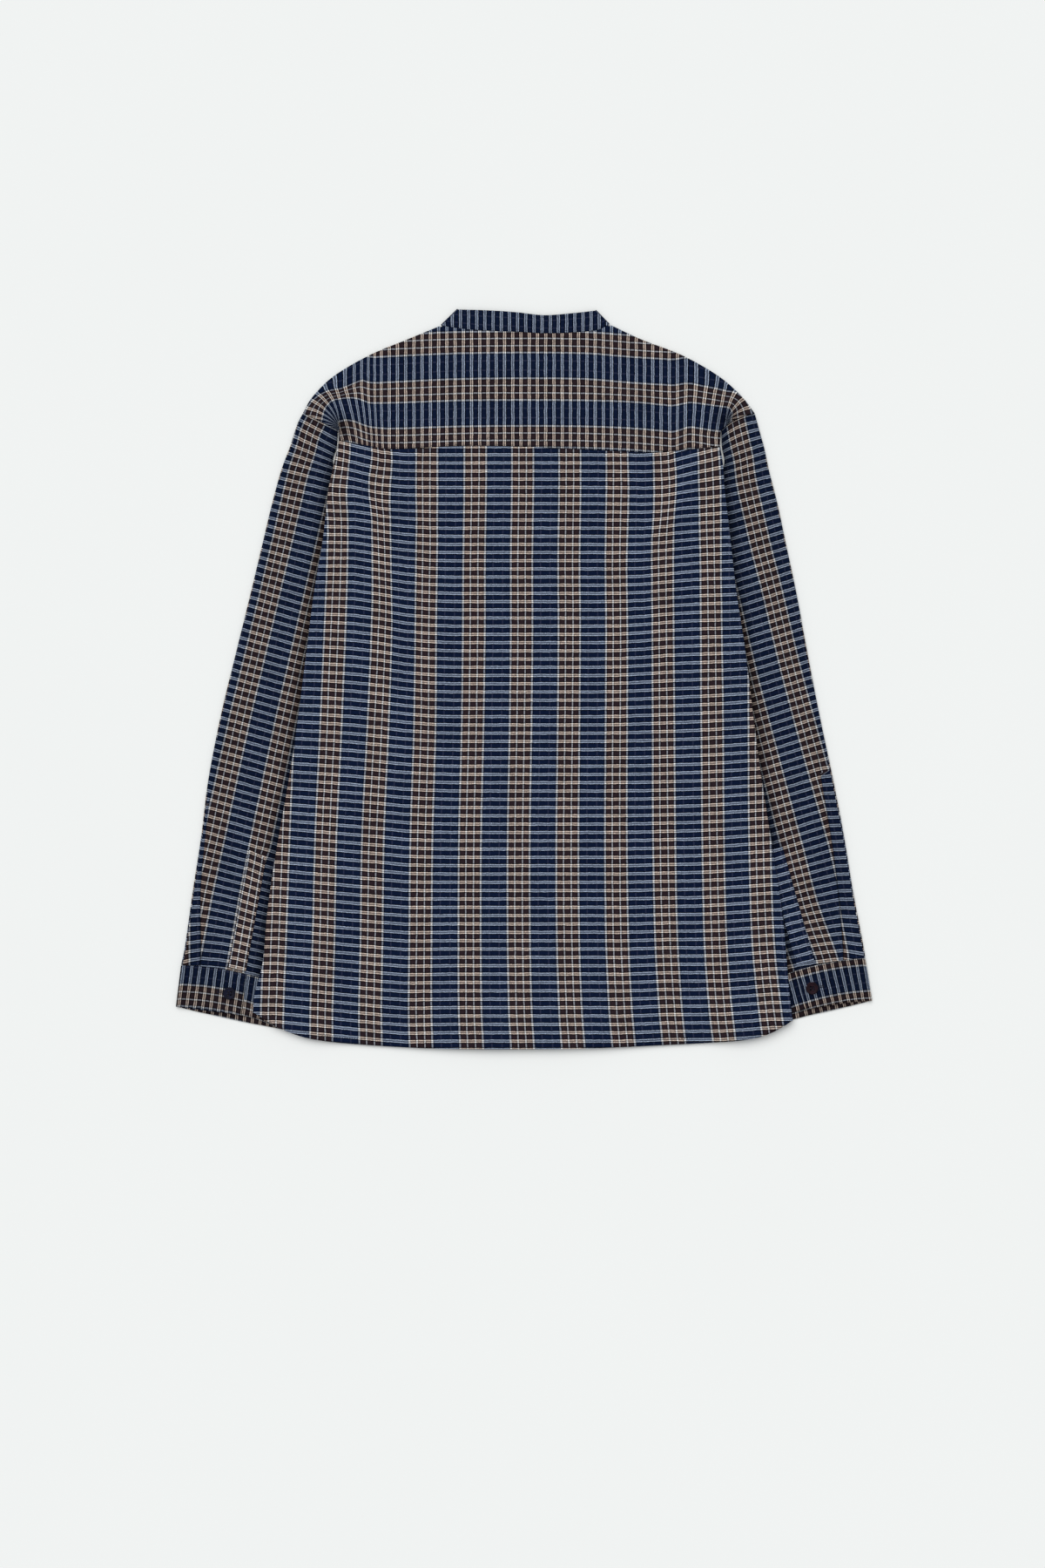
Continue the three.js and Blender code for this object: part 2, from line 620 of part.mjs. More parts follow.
// The yoke: the back part from armhole to armhole, and a wing folded over each shoulder
function makeYoke() {
  const backRows = [0, 0.2, 0.4, 0.6, 0.8, 1];
  const wingShares = [0, 0.35, 0.7, 1];
  const neckX = NECK_SEAM.slice(1, -1).map((row) => row.x);
  const shoulderColumn = (row) => {
    const fold = { x: row.foldX, y: row.foldY };
    const seam = { x: row.seamX, y: row.seamY };
    const outward = outwardFrom(seam, fold);
    const flat = new THREE.Vector2(fold.x, fold.y).addScaledVector(outward, -FOLD_REACH);
    const end = new THREE.Vector2(seam.x, seam.y).addScaledVector(outward, SEAM_GAP / 2);
    return { flat, outward, end };
  };
  const neckColumn = (x) => {
    const flat = new THREE.Vector2(x, follow(NECK_SEAM, 'x', 'y', x) - SEAM_GAP);
    return { flat, outward: new THREE.Vector2(0, 1), end: flat };
  };
  const leftWing = SHOULDER.left.map(shoulderColumn);
  const rightWing = SHOULDER.right.map(shoulderColumn).reverse();
  leftWing[0].flat = sectionPoint('left', SLEEVE.left[0], FOLD_REACH);
  rightWing[rightWing.length - 1].flat = sectionPoint('right', SLEEVE.right[0], FOLD_REACH);
  const columns = [...leftWing, ...neckX.map(neckColumn), ...rightWing];
  const top = columns.map((column) => column.flat);
  const last = columns.length - 1;
  const across = top.map((point) => (point.x - top[0].x) / (top[last].x - top[0].x));
  const seamStart = YOKE_SEAM[0];
  const seamEnd = YOKE_SEAM[YOKE_SEAM.length - 1];
  const bottom = across.map((s) => {
    const x = lerp(seamStart.x + SEAM_GAP, seamEnd.x - SEAM_GAP, s);
    return new THREE.Vector2(x, follow(YOKE_SEAM, 'x', 'y', x) + SEAM_GAP);
  });
  const armhole = (side, column) => backRows.map((t, i) => {
    const section = SLEEVE[side][0];
    if (i === 0) return column === 0 ? bottom[0] : bottom[last];
    const share = (1 - t) / (1 - backRows[1]);
    const width = Math.hypot(section.innerX - section.outerX, section.innerY - section.outerY);
    return sectionPoint(side, section, lerp(FOLD_REACH, width + ARMHOLE_GAP, share));
  });
  const left = armhole('left', 0);
  const right = armhole('right', last);
  const plan = fillPatch({ top: bottom, bottom: top, left, right }, across, backRows);
  const grid = raise(plan, (x, y) => UPPER + riseBack(x, y));
  const topRow = grid[grid.length - 1];
  for (const angle of FOLD_ANGLES) {
    grid.push(columns.map((column, j) => foldPoint(topRow[j], column.outward, angle)));
  }
  for (const share of wingShares) {
    grid.push(columns.map((column, j) => {
      const side = j < columns.length / 2 ? 'left' : 'right';
      const isEnd = j === 0 || j === last;
      const section = SLEEVE[side][0];
      const width = column.flat.distanceTo(column.end);
      const place = isEnd
        ? sectionPoint(side, section, FOLD_REACH + share * width)
        : between(topRow[j], column.end, share);
      return new THREE.Vector3(place.x, place.y, LOWER);
    }));
  }
  const isWing = (j) => j < leftWing.length - 1 || j >= columns.length - rightWing.length;
  const isCloth = (i, j) => i < backRows.length - 1 || isWing(j);
  return clothWall(grid, WALL, { isCloth });
}

// The band collar: its left front, the back half above it, and its right front
function makeCollar() {
  const heights = [0, 0.5, 1];
  const neckRun = NECK_SEAM[NECK_SEAM.length - 1].x - NECK_SEAM[0].x;
  const backPlaces = NECK_SEAM.map((row) => (row.x - NECK_SEAM[0].x) / neckRun);
  const backSeam = (s) => {
    const x = lerp(NECK_SEAM[0].x, NECK_SEAM[NECK_SEAM.length - 1].x, s);
    return new THREE.Vector2(x, follow(NECK_SEAM, 'x', 'y', x));
  };
  const backTop = (s) => {
    const x = lerp(COLLAR_TOP[0].x, COLLAR_TOP[COLLAR_TOP.length - 1].x, s);
    return new THREE.Vector2(x, follow(COLLAR_TOP, 'x', 'y', x));
  };
  const flatEnd = (side, share) => {
    const place = side === 'left' ? COLLAR_FOLD_SHARE : 1 - COLLAR_FOLD_SHARE;
    return between(backSeam(place), backTop(place), share);
  };
  const front = (side, rise) => {
    const shared = neckAngles(side);
    const apart = shared.filter((angle) => angle < COLLAR_END_ANGLE - COLLAR_END_STEP);
    const frontAngles = [...apart, COLLAR_END_ANGLE];
    const seams = frontAngles.map((angle) => neckline(side, angle, SEAM_GAP));
    const tops = frontAngles.map((angle) => collarTopFront(side, angle));
    const columns = seams.map((seam, k) => heights.map((h) => {
      const p = between(seam, tops[k], h);
      return new THREE.Vector3(p.x, p.y, LOWER + rise(p.x));
    }));
    const folded = heights.map((h) => {
      const p = flatEnd(side, h);
      return new THREE.Vector3(p.x, p.y, LOWER);
    });
    const halfway = heights.map((h, k) => folded[k].clone().lerp(columns[0][k], 0.5));
    return [folded, halfway, ...columns];
  };
  const folds = (side) => FOLD_ANGLES.map((angle) => heights.map(
    (h) => foldPoint(flatEnd(side, h), COLLAR_OUTWARD[side], angle),
  ));
  const back = backPlaces.map((s) => heights.map((h) => {
    const p = between(backSeam(s), backTop(s), h);
    if (s === 0 || s === 1) p.copy(flatEnd(s === 0 ? 'left' : 'right', h));
    return new THREE.Vector3(p.x, p.y, UPPER);
  }));
  const columns = [
    ...front('left', riseLeft).reverse(),
    ...folds('left').reverse(),
    ...back,
    ...folds('right'),
    ...front('right', riseRight),
  ];
  return clothWall(columns, WALL);
}

// A place on a sleeve section, by its distance from the outer edge
function sectionPoint(side, section, distance) {
  const outer = new THREE.Vector2(section.outerX, section.outerY);
  const inner = new THREE.Vector2(section.innerX, section.innerY);
  const run = inner.clone().sub(outer);
  const width = run.length();
  run.normalize();
  const upSleeve = new THREE.Vector2(-run.y, run.x).multiplyScalar(-signOf[side]);
  const share = distance / width;
  const bow = section.bow * 4 * share * (1 - share);
  return outer.addScaledVector(run, distance).addScaledVector(upSleeve, bow);
}

function makeSleeve(side) {
  const upperShares = steps(5);
  const lowerShares = [0, 0.2, 0.4, 0.6, 0.8, 1];
  const lastRow = SLEEVE[side].length - 1;
  const grid = SLEEVE[side].map((section, i) => {
    const outer = new THREE.Vector2(section.outerX, section.outerY);
    const inner = new THREE.Vector2(section.innerX, section.innerY);
    const width = outer.distanceTo(inner);
    const run = outwardFrom(outer, inner);
    const farEdge = width - FOLD_REACH;
    const place = (distance) => sectionPoint(side, section, distance);
    const stepEnd = section.fold + LEDGE_WIDTH;
    const onUpper = (distance, z) => {
      const p = place(distance);
      return new THREE.Vector3(p.x, p.y, z);
    };
    const upper = [
      onUpper(FOLD_REACH, UPPER),
      onUpper(section.fold, UPPER),
      ...upperShares.map((share) => {
        const distance = lerp(stepEnd, farEdge, share);
        const fade = Math.max(0, 1 - (distance - stepEnd) / LEDGE_FADE);
        return onUpper(distance, UPPER + section.ledge * fade);
      }),
    ];
    const innerFold = FOLD_ANGLES.map((angle) => foldPoint(place(farEdge), run, angle));
    const lower = lowerShares.map((share) => {
      const p = place(lerp(farEdge, FOLD_REACH, share));
      return new THREE.Vector3(p.x, p.y, LOWER);
    });
    const back = run.clone().negate();
    const outerFold = [...FOLD_ANGLES].reverse().map(
      (angle) => foldPoint(place(FOLD_REACH), back, angle),
    );
    const ring = [...upper, ...innerFold, ...lower, ...outerFold];
    if (i === 0) ring.forEach((p) => moveAlongSleeve(side, section, p, -ARMHOLE_GAP));
    if (i === lastRow) ring.forEach((p) => moveAlongSleeve(side, section, p, SEAM_GAP / 2));
    return ring;
  });
  return clothWall(grid, WALL, { wraps: true });
}

// Moves a point towards the shoulder, or away from it where the distance is negative
function moveAlongSleeve(side, section, point, distance) {
  const run = outwardFrom(
    { x: section.outerX, y: section.outerY },
    { x: section.innerX, y: section.innerY },
  );
  point.x += run.y * signOf[side] * distance;
  point.y += -run.x * signOf[side] * distance;
}

// A cuff: the overlap from its end to the outer fold, the lowest layer, and the underlap
function makeCuff(side) {
  const ribs = CUFF[side];
  const end = SLEEVE[side][SLEEVE[side].length - 1];
  const endWidth = Math.hypot(end.innerX - end.outerX, end.innerY - end.outerY);
  const lastRib = ribs.length - 1;
  const heights = [0, 0.5, 1];
  const value = (key, place) => {
    const first = Math.min(Math.floor(place), lastRib - 1);
    return lerp(ribs[first][key], ribs[first + 1][key], place - first);
  };
  const rib = (place, layer) => {
    const top = sectionPoint(side, end, value('along', place) * endWidth);
    moveAlongSleeve(side, end, top, -SEAM_GAP / 2);
    const bottom = new THREE.Vector2(value(`${layer}X`, place), value(`${layer}Y`, place));
    return heights.map((h) => between(top, bottom, h));
  };
  const outerRib = rib(0, 'upper');
  const innerRib = rib(lastRib, 'upper');
  const toOuter = heights.map((h, k) => outwardFrom(innerRib[k], outerRib[k]));
  const toInner = heights.map((h, k) => outwardFrom(outerRib[k], innerRib[k]));
  const outerFlat = outerRib.map((p, k) => p.clone().addScaledVector(toOuter[k], -FOLD_REACH));
  const innerFlat = innerRib.map((p, k) => p.clone().addScaledVector(toInner[k], -FOLD_REACH));
  const at = (points, z) => points.map((p) => new THREE.Vector3(p.x, p.y, z));
  const overlapZ = (place) => {
    const step = ramp(place, OVERLAP_STEP.from, OVERLAP_STEP.to);
    return UPPER + (WALL + SEAM_GAP) * step;
  };
  const columns = [
    ...OVERLAP_PLACES.map((place) => at(rib(place, 'upper'), overlapZ(place))),
    at(outerFlat, UPPER),
    ...FOLD_ANGLES.map((angle) => outerFlat.map((p, k) => foldPoint(p, toOuter[k], angle))),
    at(outerFlat, LOWER),
    ...LOWEST_PLACES.map((place) => at(rib(place, 'lower'), LOWER)),
    at(innerFlat, LOWER),
    ...FOLD_ANGLES.map((angle) => innerFlat.map((p, k) => foldPoint(p, toInner[k], -angle))),
    at(innerFlat, UPPER),
    ...UNDERLAP_PLACES.map((place) => at(rib(place, 'upper'), UPPER)),
  ];
  return clothWall(columns, WALL);
}

// The strip over a sleeve slit lies on the upper wall of the sleeve
function makeSleevePlacket(side) {
  const [topRow, bottomRow] = SLEEVE_PLACKET[side];
  const z = UPPER + WALL / 2 + SEAM_GAP + STRIP_WALL / 2;
  const corner = (row, edge) => new THREE.Vector2(row[`${edge}X`], row[`${edge}Y`]);
  const grid = steps(PLACKET_ROWS / 2).map((t) => {
    const left = between(corner(topRow, 'left'), corner(bottomRow, 'left'), t);
    const right = between(corner(topRow, 'right'), corner(bottomRow, 'right'), t);
    return steps(2).map((s) => {
      const place = between(left, right, s);
      return new THREE.Vector3(place.x, place.y, z);
    });
  });
  return clothWall(grid, STRIP_WALL);
}

function toSolid(geometry) {
  const bare = geometry.clone();
  bare.deleteAttribute('normal');
  bare.deleteAttribute('uv');
  const merged = mergeVertices(bare, 1e-4);
  const order = [...merged.getIndex().array];
  const kept = [];
  for (let k = 0; k < order.length; k += 3) {
    const [a, b, c] = order.slice(k, k + 3);
    if (a !== b && b !== c && c !== a) kept.push(a, b, c);
  }
  const vertProperties = new Float32Array(merged.getAttribute('position').array);
  return new wasm.Manifold(new wasm.Mesh({
    numProp: 3,
    vertProperties,
    triVerts: new Uint32Array(kept),
  }));
}

function toGeometry(solid) {
  const mesh = solid.getMesh();
  const geometry = new THREE.BufferGeometry();
  geometry.setAttribute('position', new THREE.Float32BufferAttribute(mesh.vertProperties, 3));
  geometry.setIndex([...mesh.triVerts]);
  geometry.computeVertexNormals();
  return geometry;
}

// A four-hole button with a raised rim, its face up and its back at z = 0
function makeButtonGeometry() {
  const faceHeight = BUTTON_HEIGHT - BUTTON_DISH;
  const rimInner = BUTTON_RADIUS - BUTTON_RIM;
  const profile = [
    [0, 0],
    [BUTTON_RADIUS - BUTTON_FOOT, 0],
    [BUTTON_RADIUS, BUTTON_FOOT],
    [BUTTON_RADIUS, BUTTON_HEIGHT - BUTTON_BEVEL],
    [BUTTON_RADIUS - BUTTON_BEVEL, BUTTON_HEIGHT],
    [rimInner, BUTTON_HEIGHT],
    [rimInner - BUTTON_DISH, faceHeight],
    [0, faceHeight],
  ].map(([radius, height]) => new THREE.Vector2(radius, height));
  const disc = new THREE.LatheGeometry(profile, BUTTON_SIDES).rotateX(Math.PI / 2);
  const radius = BUTTON_HOLE_RADIUS;
  let solid = toSolid(disc);
  for (const [x, y] of [[1, 1], [-1, 1], [-1, -1], [1, -1]]) {
    const hole = new THREE.CylinderGeometry(radius, radius, BUTTON_HEIGHT * 3, BUTTON_HOLE_SIDES)
      .rotateX(Math.PI / 2)
      .translate(x * BUTTON_HOLE_OFFSET, y * BUTTON_HOLE_OFFSET, 0);
    solid = solid.subtract(toSolid(hole));
  }
  return toGeometry(solid);
}

// The shirt

const shirt = new THREE.Group();

function addCloth(name, geometry) {
  const material = new THREE.MeshStandardMaterial({
    color: CLOTH,
    roughness: CLOTH_ROUGHNESS,
    metalness: 0,
  });
  const mesh = new THREE.Mesh(geometry, material);
  mesh.name = name;
  shirt.add(mesh);
}

function addButton(name, place, colour, facesDown) {
  const material = new THREE.MeshStandardMaterial({
    color: colour,
    roughness: BUTTON_ROUGHNESS,
    metalness: 0,
  });
  const mesh = new THREE.Mesh(makeButtonGeometry(), material);
  mesh.name = name;
  mesh.position.copy(place);
  if (facesDown) {
    mesh.rotation.x = Math.PI;
    mesh.position.z += BUTTON_HEIGHT;
  }
  shirt.add(mesh);
}

addCloth('back', makeBack());
addCloth('yoke', makeYoke());
addCloth('collar', makeCollar());
addCloth('front_placket', makeFrontPlacket());
for (const side of SIDES) {
  addCloth(`front_${side}`, makeFront(side));
  addCloth(`sleeve_${side}`, makeSleeve(side));
  addCloth(`cuff_${side}`, makeCuff(side));
  addCloth(`sleeve_placket_${side}`, makeSleevePlacket(side));
}

function onCuff(side) {
  const z = UPPER + WALL + SEAM_GAP + WALL / 2 + SEAM_GAP;
  return new THREE.Vector3(CUFF_BUTTON[side].x, CUFF_BUTTON[side].y, z);
}

addButton('cuff_button_left', onCuff('left'), BUTTON_NAVY, false);
addButton('cuff_button_right', onCuff('right'), BUTTON_WINE, false);
addButton('collar_button', new THREE.Vector3(0, COLLAR_BUTTON_Y, 0), BUTTON_WINE, true);
for (let k = 0; k < FRONT_BUTTON_COUNT; k += 1) {
  const y = FRONT_BUTTON_TOP - k * FRONT_BUTTON_SPACING;
  addButton(`front_button_${k + 1}`, new THREE.Vector3(0, y, 0), BUTTON_WINE, true);
}

export default shirt;
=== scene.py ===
"""A band-collar shirt of yarn-dyed cloth, laid flat with its back up.

Sizes in the tables are millimetres: X to the right, Y towards the collar, Z up from the floor.
"""
import math

import bpy
import numpy as np
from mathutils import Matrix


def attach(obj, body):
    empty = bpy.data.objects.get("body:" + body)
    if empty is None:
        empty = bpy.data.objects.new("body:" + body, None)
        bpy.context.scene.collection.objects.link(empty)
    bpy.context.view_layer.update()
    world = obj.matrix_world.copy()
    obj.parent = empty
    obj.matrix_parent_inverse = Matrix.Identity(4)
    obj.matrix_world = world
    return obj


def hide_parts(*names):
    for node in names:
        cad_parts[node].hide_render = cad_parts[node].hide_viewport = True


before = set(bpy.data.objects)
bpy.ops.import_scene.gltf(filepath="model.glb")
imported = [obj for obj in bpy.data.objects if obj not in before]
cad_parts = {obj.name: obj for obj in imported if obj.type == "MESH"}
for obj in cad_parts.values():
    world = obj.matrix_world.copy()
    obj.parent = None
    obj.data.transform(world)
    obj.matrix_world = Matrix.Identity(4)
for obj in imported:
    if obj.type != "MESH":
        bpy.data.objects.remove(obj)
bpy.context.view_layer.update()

MM = 0.001

# Camera, light and the floor's size, which is in metres

PIXEL = 0.92
VIEW_CENTRE = (-1.6, -110.7)
VIEW_HEIGHT = 1800 * PIXEL
CAMERA_HEIGHT = 3000.0
SENSOR = 36.0
CLIP_END = 20.0
SKY = dict(colour=(0.982, 0.986, 1.0, 1.0), strength=0.58)
FLOOR = dict(half=4.0, z=-0.0003)
SUN = dict(colour=(1.0, 0.995, 0.985), energy=1.68, spread=55, tilt_x=-34, tilt_y=-16)


def make_camera():
    data = bpy.data.cameras.new("camera")
    data.sensor_fit = "VERTICAL"
    data.sensor_height = SENSOR
    data.lens = SENSOR * CAMERA_HEIGHT / VIEW_HEIGHT
    data.clip_end = CLIP_END
    camera = bpy.data.objects.new("camera", data)
    camera.location = (VIEW_CENTRE[0] * MM, VIEW_CENTRE[1] * MM, CAMERA_HEIGHT * MM)
    bpy.context.scene.collection.objects.link(camera)
    bpy.context.scene.camera = camera


def make_light():
    world = bpy.data.worlds.new("studio")
    world.use_nodes = True
    background = world.node_tree.nodes["Background"]
    background.inputs["Color"].default_value = SKY["colour"]
    background.inputs["Strength"].default_value = SKY["strength"]
    bpy.context.scene.world = world
    data = bpy.data.lights.new("softbox", "SUN")
    data.energy = SUN["energy"]
    data.angle = math.radians(SUN["spread"])
    data.color = SUN["colour"]
    light = bpy.data.objects.new("softbox", data)
    light.rotation_euler = (math.radians(SUN["tilt_x"]), math.radians(SUN["tilt_y"]), 0.0)
    bpy.context.scene.collection.objects.link(light)
    bpy.context.scene.view_settings.view_transform = "Standard"


# Sizes of the shirt

# Walls, the gaps between them and the heights of the two layers
WALL = 1.2
SHELL = 0.9
STRIP_WALL = 1.0
SEAM_GAP = 0.3
ARMHOLE_GAP = 0.8
LAYER_GAP = 0.6
LOWER = WALL / 2
UPPER = LOWER + WALL + LAYER_GAP
MIDDLE = (LOWER + UPPER) / 2
STRIP_Z = UPPER + WALL / 2 + SEAM_GAP + STRIP_WALL / 2
CUFF_BUTTON_Z = UPPER + WALL + SEAM_GAP + WALL / 2 + SEAM_GAP
# Rounded folds: the angles at which they are drawn, on a tube's edge and on a body panel's
FOLD_RADIUS = (UPPER - LOWER) / 2
FOLD_REACH = FOLD_RADIUS + WALL / 2
FOLD_TURNS = (60, 30, 0, -30, -60)
ROLL_TURNS = (72, 50, 30, 10)
# How much cloth lies up to each of a panel's angles, and round a whole fold
ROLL_PLACES = (0.3, 0.6, 0.95, 1.25)
FOLD_ROUND = 2.8
YOKE_FOLD_ROUND = 2.9
# Degrees in a radian
RADIAN = 57.3
# The fronts and the back climb over the buttons and the buttonhole strip in the middle
PLACKET_HALF = 16.0
FRONT_OVERLAP = 14.0
BUTTON_HEIGHT = 2.4
RISE_LEFT = BUTTON_HEIGHT + SEAM_GAP
RISE_RIGHT = RISE_LEFT + WALL + SEAM_GAP
RISE_BACK = RISE_RIGHT - LAYER_GAP + SEAM_GAP + 0.1
RISE_START = PLACKET_HALF + 11.0
RISE_RUN = 29.0
BACK_RUN = 130.0
# Over the sleeves' inner edges, the body lies higher
LIFT = {"left": UPPER + WALL / 2 + 0.5}
LIFT["right"] = LIFT["left"] + STRIP_WALL + SEAM_GAP
FRONT_LIFT = dict(clear=12, run=34, seam_start=4, seam_end=22)
BACK_LIFT = dict(clear=17, run=56, seam_start=0.5, seam_end=18)
# The neckline and the collar's top edge are parts of ellipses, below the collar's back
NECK_Y = 338.5
NECK_DEPTH = 46.0
NECK_HALF = {"left": 72.5, "right": 75.7}
COLLAR_TOP_Y = 347.5
COLLAR_TOP_DEPTH = 31.5
COLLAR_TOP_HALF = {"left": 49.5, "right": 50.5}
COLLAR_END_ANGLE = 101.0
COLLAR_FOLD_SHARE = 0.012
COLLAR_FOLD_X = {"left": -80.0, "right": 83.0}
COLLAR_OUTWARD = {"left": (-0.71, 0.71), "right": (0.79, 0.61)}
# The front of the collar climbs with the fronts, this near the middle
COLLAR_CLIMB_HALF = 60
NECK_RISE_START = COLLAR_TOP_Y + 12
NECK_RISE_FULL = COLLAR_TOP_Y - COLLAR_TOP_DEPTH + 6
# The stretch of a body panel below the yoke seam that has the closest rows
CLIMB = 24.0
ROW_CROWDING = 1.05
FRONT_HEM_RISE = 8.0
HEM_CORNER_RUN = 60.0
FRONT_BUTTONS = [227 - 92 * k for k in range(6)]
COLLAR_BUTTON_Y = 304.5
SIGN = {"left": -1, "right": 1}

BODY_EDGES = dict(
    y=[262, 250, 225, 200, 147, 94, 27, -55, -110, -190, -250, -300, -335, -360],
    left=[-195, -196, -201, -206.5, -212.5, -221.5, -230, -240.5, -249, -263, -271.5, -276,
          -285, -286],
    right=[206, 207, 210, 212, 218, 224, 234, 244, 251.5, 264, 273, 277.5, 280.5, 283.5],
)
YOKE_SEAM = dict(
    x=[-196, -162, -141, -66, 2, 90, 137, 172, 207],
    y=[252, 245.5, 242.5, 245.5, 244.5, 240.5, 239, 242, 245.5],
)
HEM = dict(
    x=[-286, -277.5, -258.5, -224.5, -167, -80, 63, 143, 220, 246, 261.5, 275, 283],
    y=[-352, -357.5, -369, -380.5, -387, -391, -390.5, -387.5, -383, -379, -373.5, -366, -360.5],
)
SHOULDER = {
    "left": dict(
        fold_x=[-233.5, -223.5, -201, -163.5, -124, -89.2],
        fold_y=[281, 298, 320, 342, 358.5, 372.8],
        seam_x=[-197, -188, -173.5, -142.5, -107.5, -72.5],
        seam_y=[263, 276.5, 291.5, 309, 322.5, 338.5],
    ),
    "right": dict(
        fold_x=[244, 230.5, 205.5, 167, 124.5, 91.8],
        fold_y=[280, 298, 320, 342, 358.5, 373.8],
        seam_x=[209, 199, 180, 146, 108, 75.7],
        seam_y=[263, 275.5, 290.5, 308.5, 322.5, 338.5],
    ),
}
NECK_SEAM = dict(
    x=[-89, -62, -34, -7, 22, 54.5, 79, 91.5],
    y=[373.5, 369.5, 367.5, 366.5, 365, 366, 369, 375.5],
)
NECK_FLAT = (-84.5, 87.5)
COLLAR_TOP = dict(x=[-71.5, -36, -7, 21, 50, 77], y=[390, 389, 387, 384, 386, 389])
SLEEVE = {
    "left": dict(
        outer_x=[-233.5, -240, -247, -256.5, -266.5, -277.5, -288.5, -304.5, -320, -333.5, -341,
                 -349.5, -358, -362.3],
        outer_y=[281, 268, 246, 220.5, 184, 138, 92, 27, -37, -106, -166, -221, -281, -302],
        inner_x=[-196.4, -197.6, -201.2, -186, -163, -140, -124, -129, -149, -174.5, -198.5,
                 -222.5, -243.5, -250],
        inner_y=[262.8, 245, 227, 200, 159, 105, 50, -14, -79, -146, -207, -260, -308, -327],
        bow=[0, 0, 0, 0, 0, 0, 0, 0, 0, 0, 0, 1, 4, 6],
        fold=[5, 5, 5, 5, 5, 5, 5, 5, 5, 5, 5, 9, 17.5, 21],
        ledge=[0, 0, 0, 0, 0, 0, 0, 0, 0, 0, 0.8, 1, 1, 1],
    ),
    "right": dict(
        outer_x=[244, 248.8, 254, 259, 268, 277.5, 287.5, 299.5, 312, 326.5, 338, 347, 358,
                 360.5],
        outer_y=[280, 262, 243, 219.5, 184, 139, 92, 27, -37, -106, -166, -221, -279, -294.5],
        inner_x=[208.4, 208.9, 210.9, 197, 173, 150, 132.5, 138, 158.5, 182.5, 204.5, 226.5,
                 248.5, 256],
        inner_y=[262.8, 244, 225, 197, 156, 103.5, 48.5, -16, -81, -146, -207, -260, -304, -319.5],
        bow=[3.4, 2, 0, 0, 0, 0, 0, 0, 0, 0, 0, 1, 3, 5],
        fold=[5, 5, 5, 5, 5, 5, 5, 6, 9, 13, 14.5, 16.5, 22, 24],
        ledge=[0, 0, 0, 0, 0, 0, 0, 0, 0, 0.4, 1, 1, 1, 1],
    ),
}
LEDGE_FADE = 25.0
# The ledge's height where the pleat begins to show and where it is open
PLEAT_OPENS = (0.1, 0.6)
STRIP_LEAST = 4.0
CUFF = {
    "left": dict(
        along=[0, 0.22, 0.44, 0.61, 0.8, 1],
        upper_x=[-367.8, -343, -317.5, -298.7, -278.5, -256.5],
        upper_y=[-345.5, -348.7, -351.8, -354.5, -359, -369.5],
        lower_x=[-367.8, -343, -317.5, -298, -276.5, -256.5],
        lower_y=[-345.5, -351.5, -357, -361.5, -365.5, -369.5],
    ),
    "right": dict(
        along=[0, 0.24, 0.46, 0.69, 0.85, 1],
        upper_x=[367.7, 344.5, 321.5, 298.5, 281, 262.5],
        upper_y=[-339.2, -341, -344.5, -348, -353, -364.5],
        lower_x=[367.7, 344.5, 321.5, 298.5, 279.5, 262.5],
        lower_y=[-339.2, -345, -350.5, -355.5, -360.5, -364.5],
    ),
}
# Places round a cuff, in ribs from its outer fold: the flat part of the lower layer, where the
# overlap climbs, and where the overlap and the underlap end
CUFF_FLAT = (0.12, 4.88)
OVERLAP_STEP = (1.1, 1.5)
OVERLAP_END = 3.0
UNDERLAP_END = 1.6
SLEEVE_PLACKET = {
    "left": dict(
        left_x=[-289.8, -311.5], left_y=[-180.5, -304.3],
        right_x=[-272, -293.8], right_y=[-188, -308.3],
    ),
    "right": dict(
        left_x=[254.2, 287.7], left_y=[-182.5, -302.6],
        right_x=[272.6, 306.4], right_y=[-177, -297.6],
    ),
}
CUFF_BUTTON = {"left": (-310.7, -331.5), "right": (303.8, -326)}

# The share of the yoke's side along which it draws in to the end of the back seam
YOKE_CORNER = 0.2

# Folds of the back, two of them up into the yoke: each runs between two places, stands up by
# its height and takes up cloth
FOLDS = [
    dict(start=(-172, 316), end=(-152, 232), width=8, height=1.3, take=0.0),
    dict(start=(163, 304), end=(158, 225), width=8, height=1.1, take=1.5),
    dict(start=(-186, 232), end=(-150, 165), width=17, height=1.6, take=3.0),
    dict(start=(-152, 180), end=(-140, 60), width=15, height=1.4, take=2.5),
    dict(start=(-118, 238), end=(-108, 150), width=16, height=1.1, take=1.5),
    dict(start=(178, 234), end=(146, 150), width=17, height=1.4, take=2.5),
    dict(start=(118, 226), end=(132, 120), width=16, height=1.1, take=1.5),
    dict(start=(196, 150), end=(206, 0), width=15, height=1.1, take=1.5),
    dict(start=(-206, 100), end=(-214, -40), width=15, height=1.1, take=1.5),
]
RIDGE_END = (0.1, 0.25)

# Curves and surfaces


def ramp(value, low, high):
    share = np.clip((np.asarray(value, float) - low) / (high - low), 0, 1)
    return share * share * (3 - 2 * share)


def lerp(a, b, share):
    return a + (b - a) * share


def steps(count):
    return np.linspace(0, 1, count + 1)


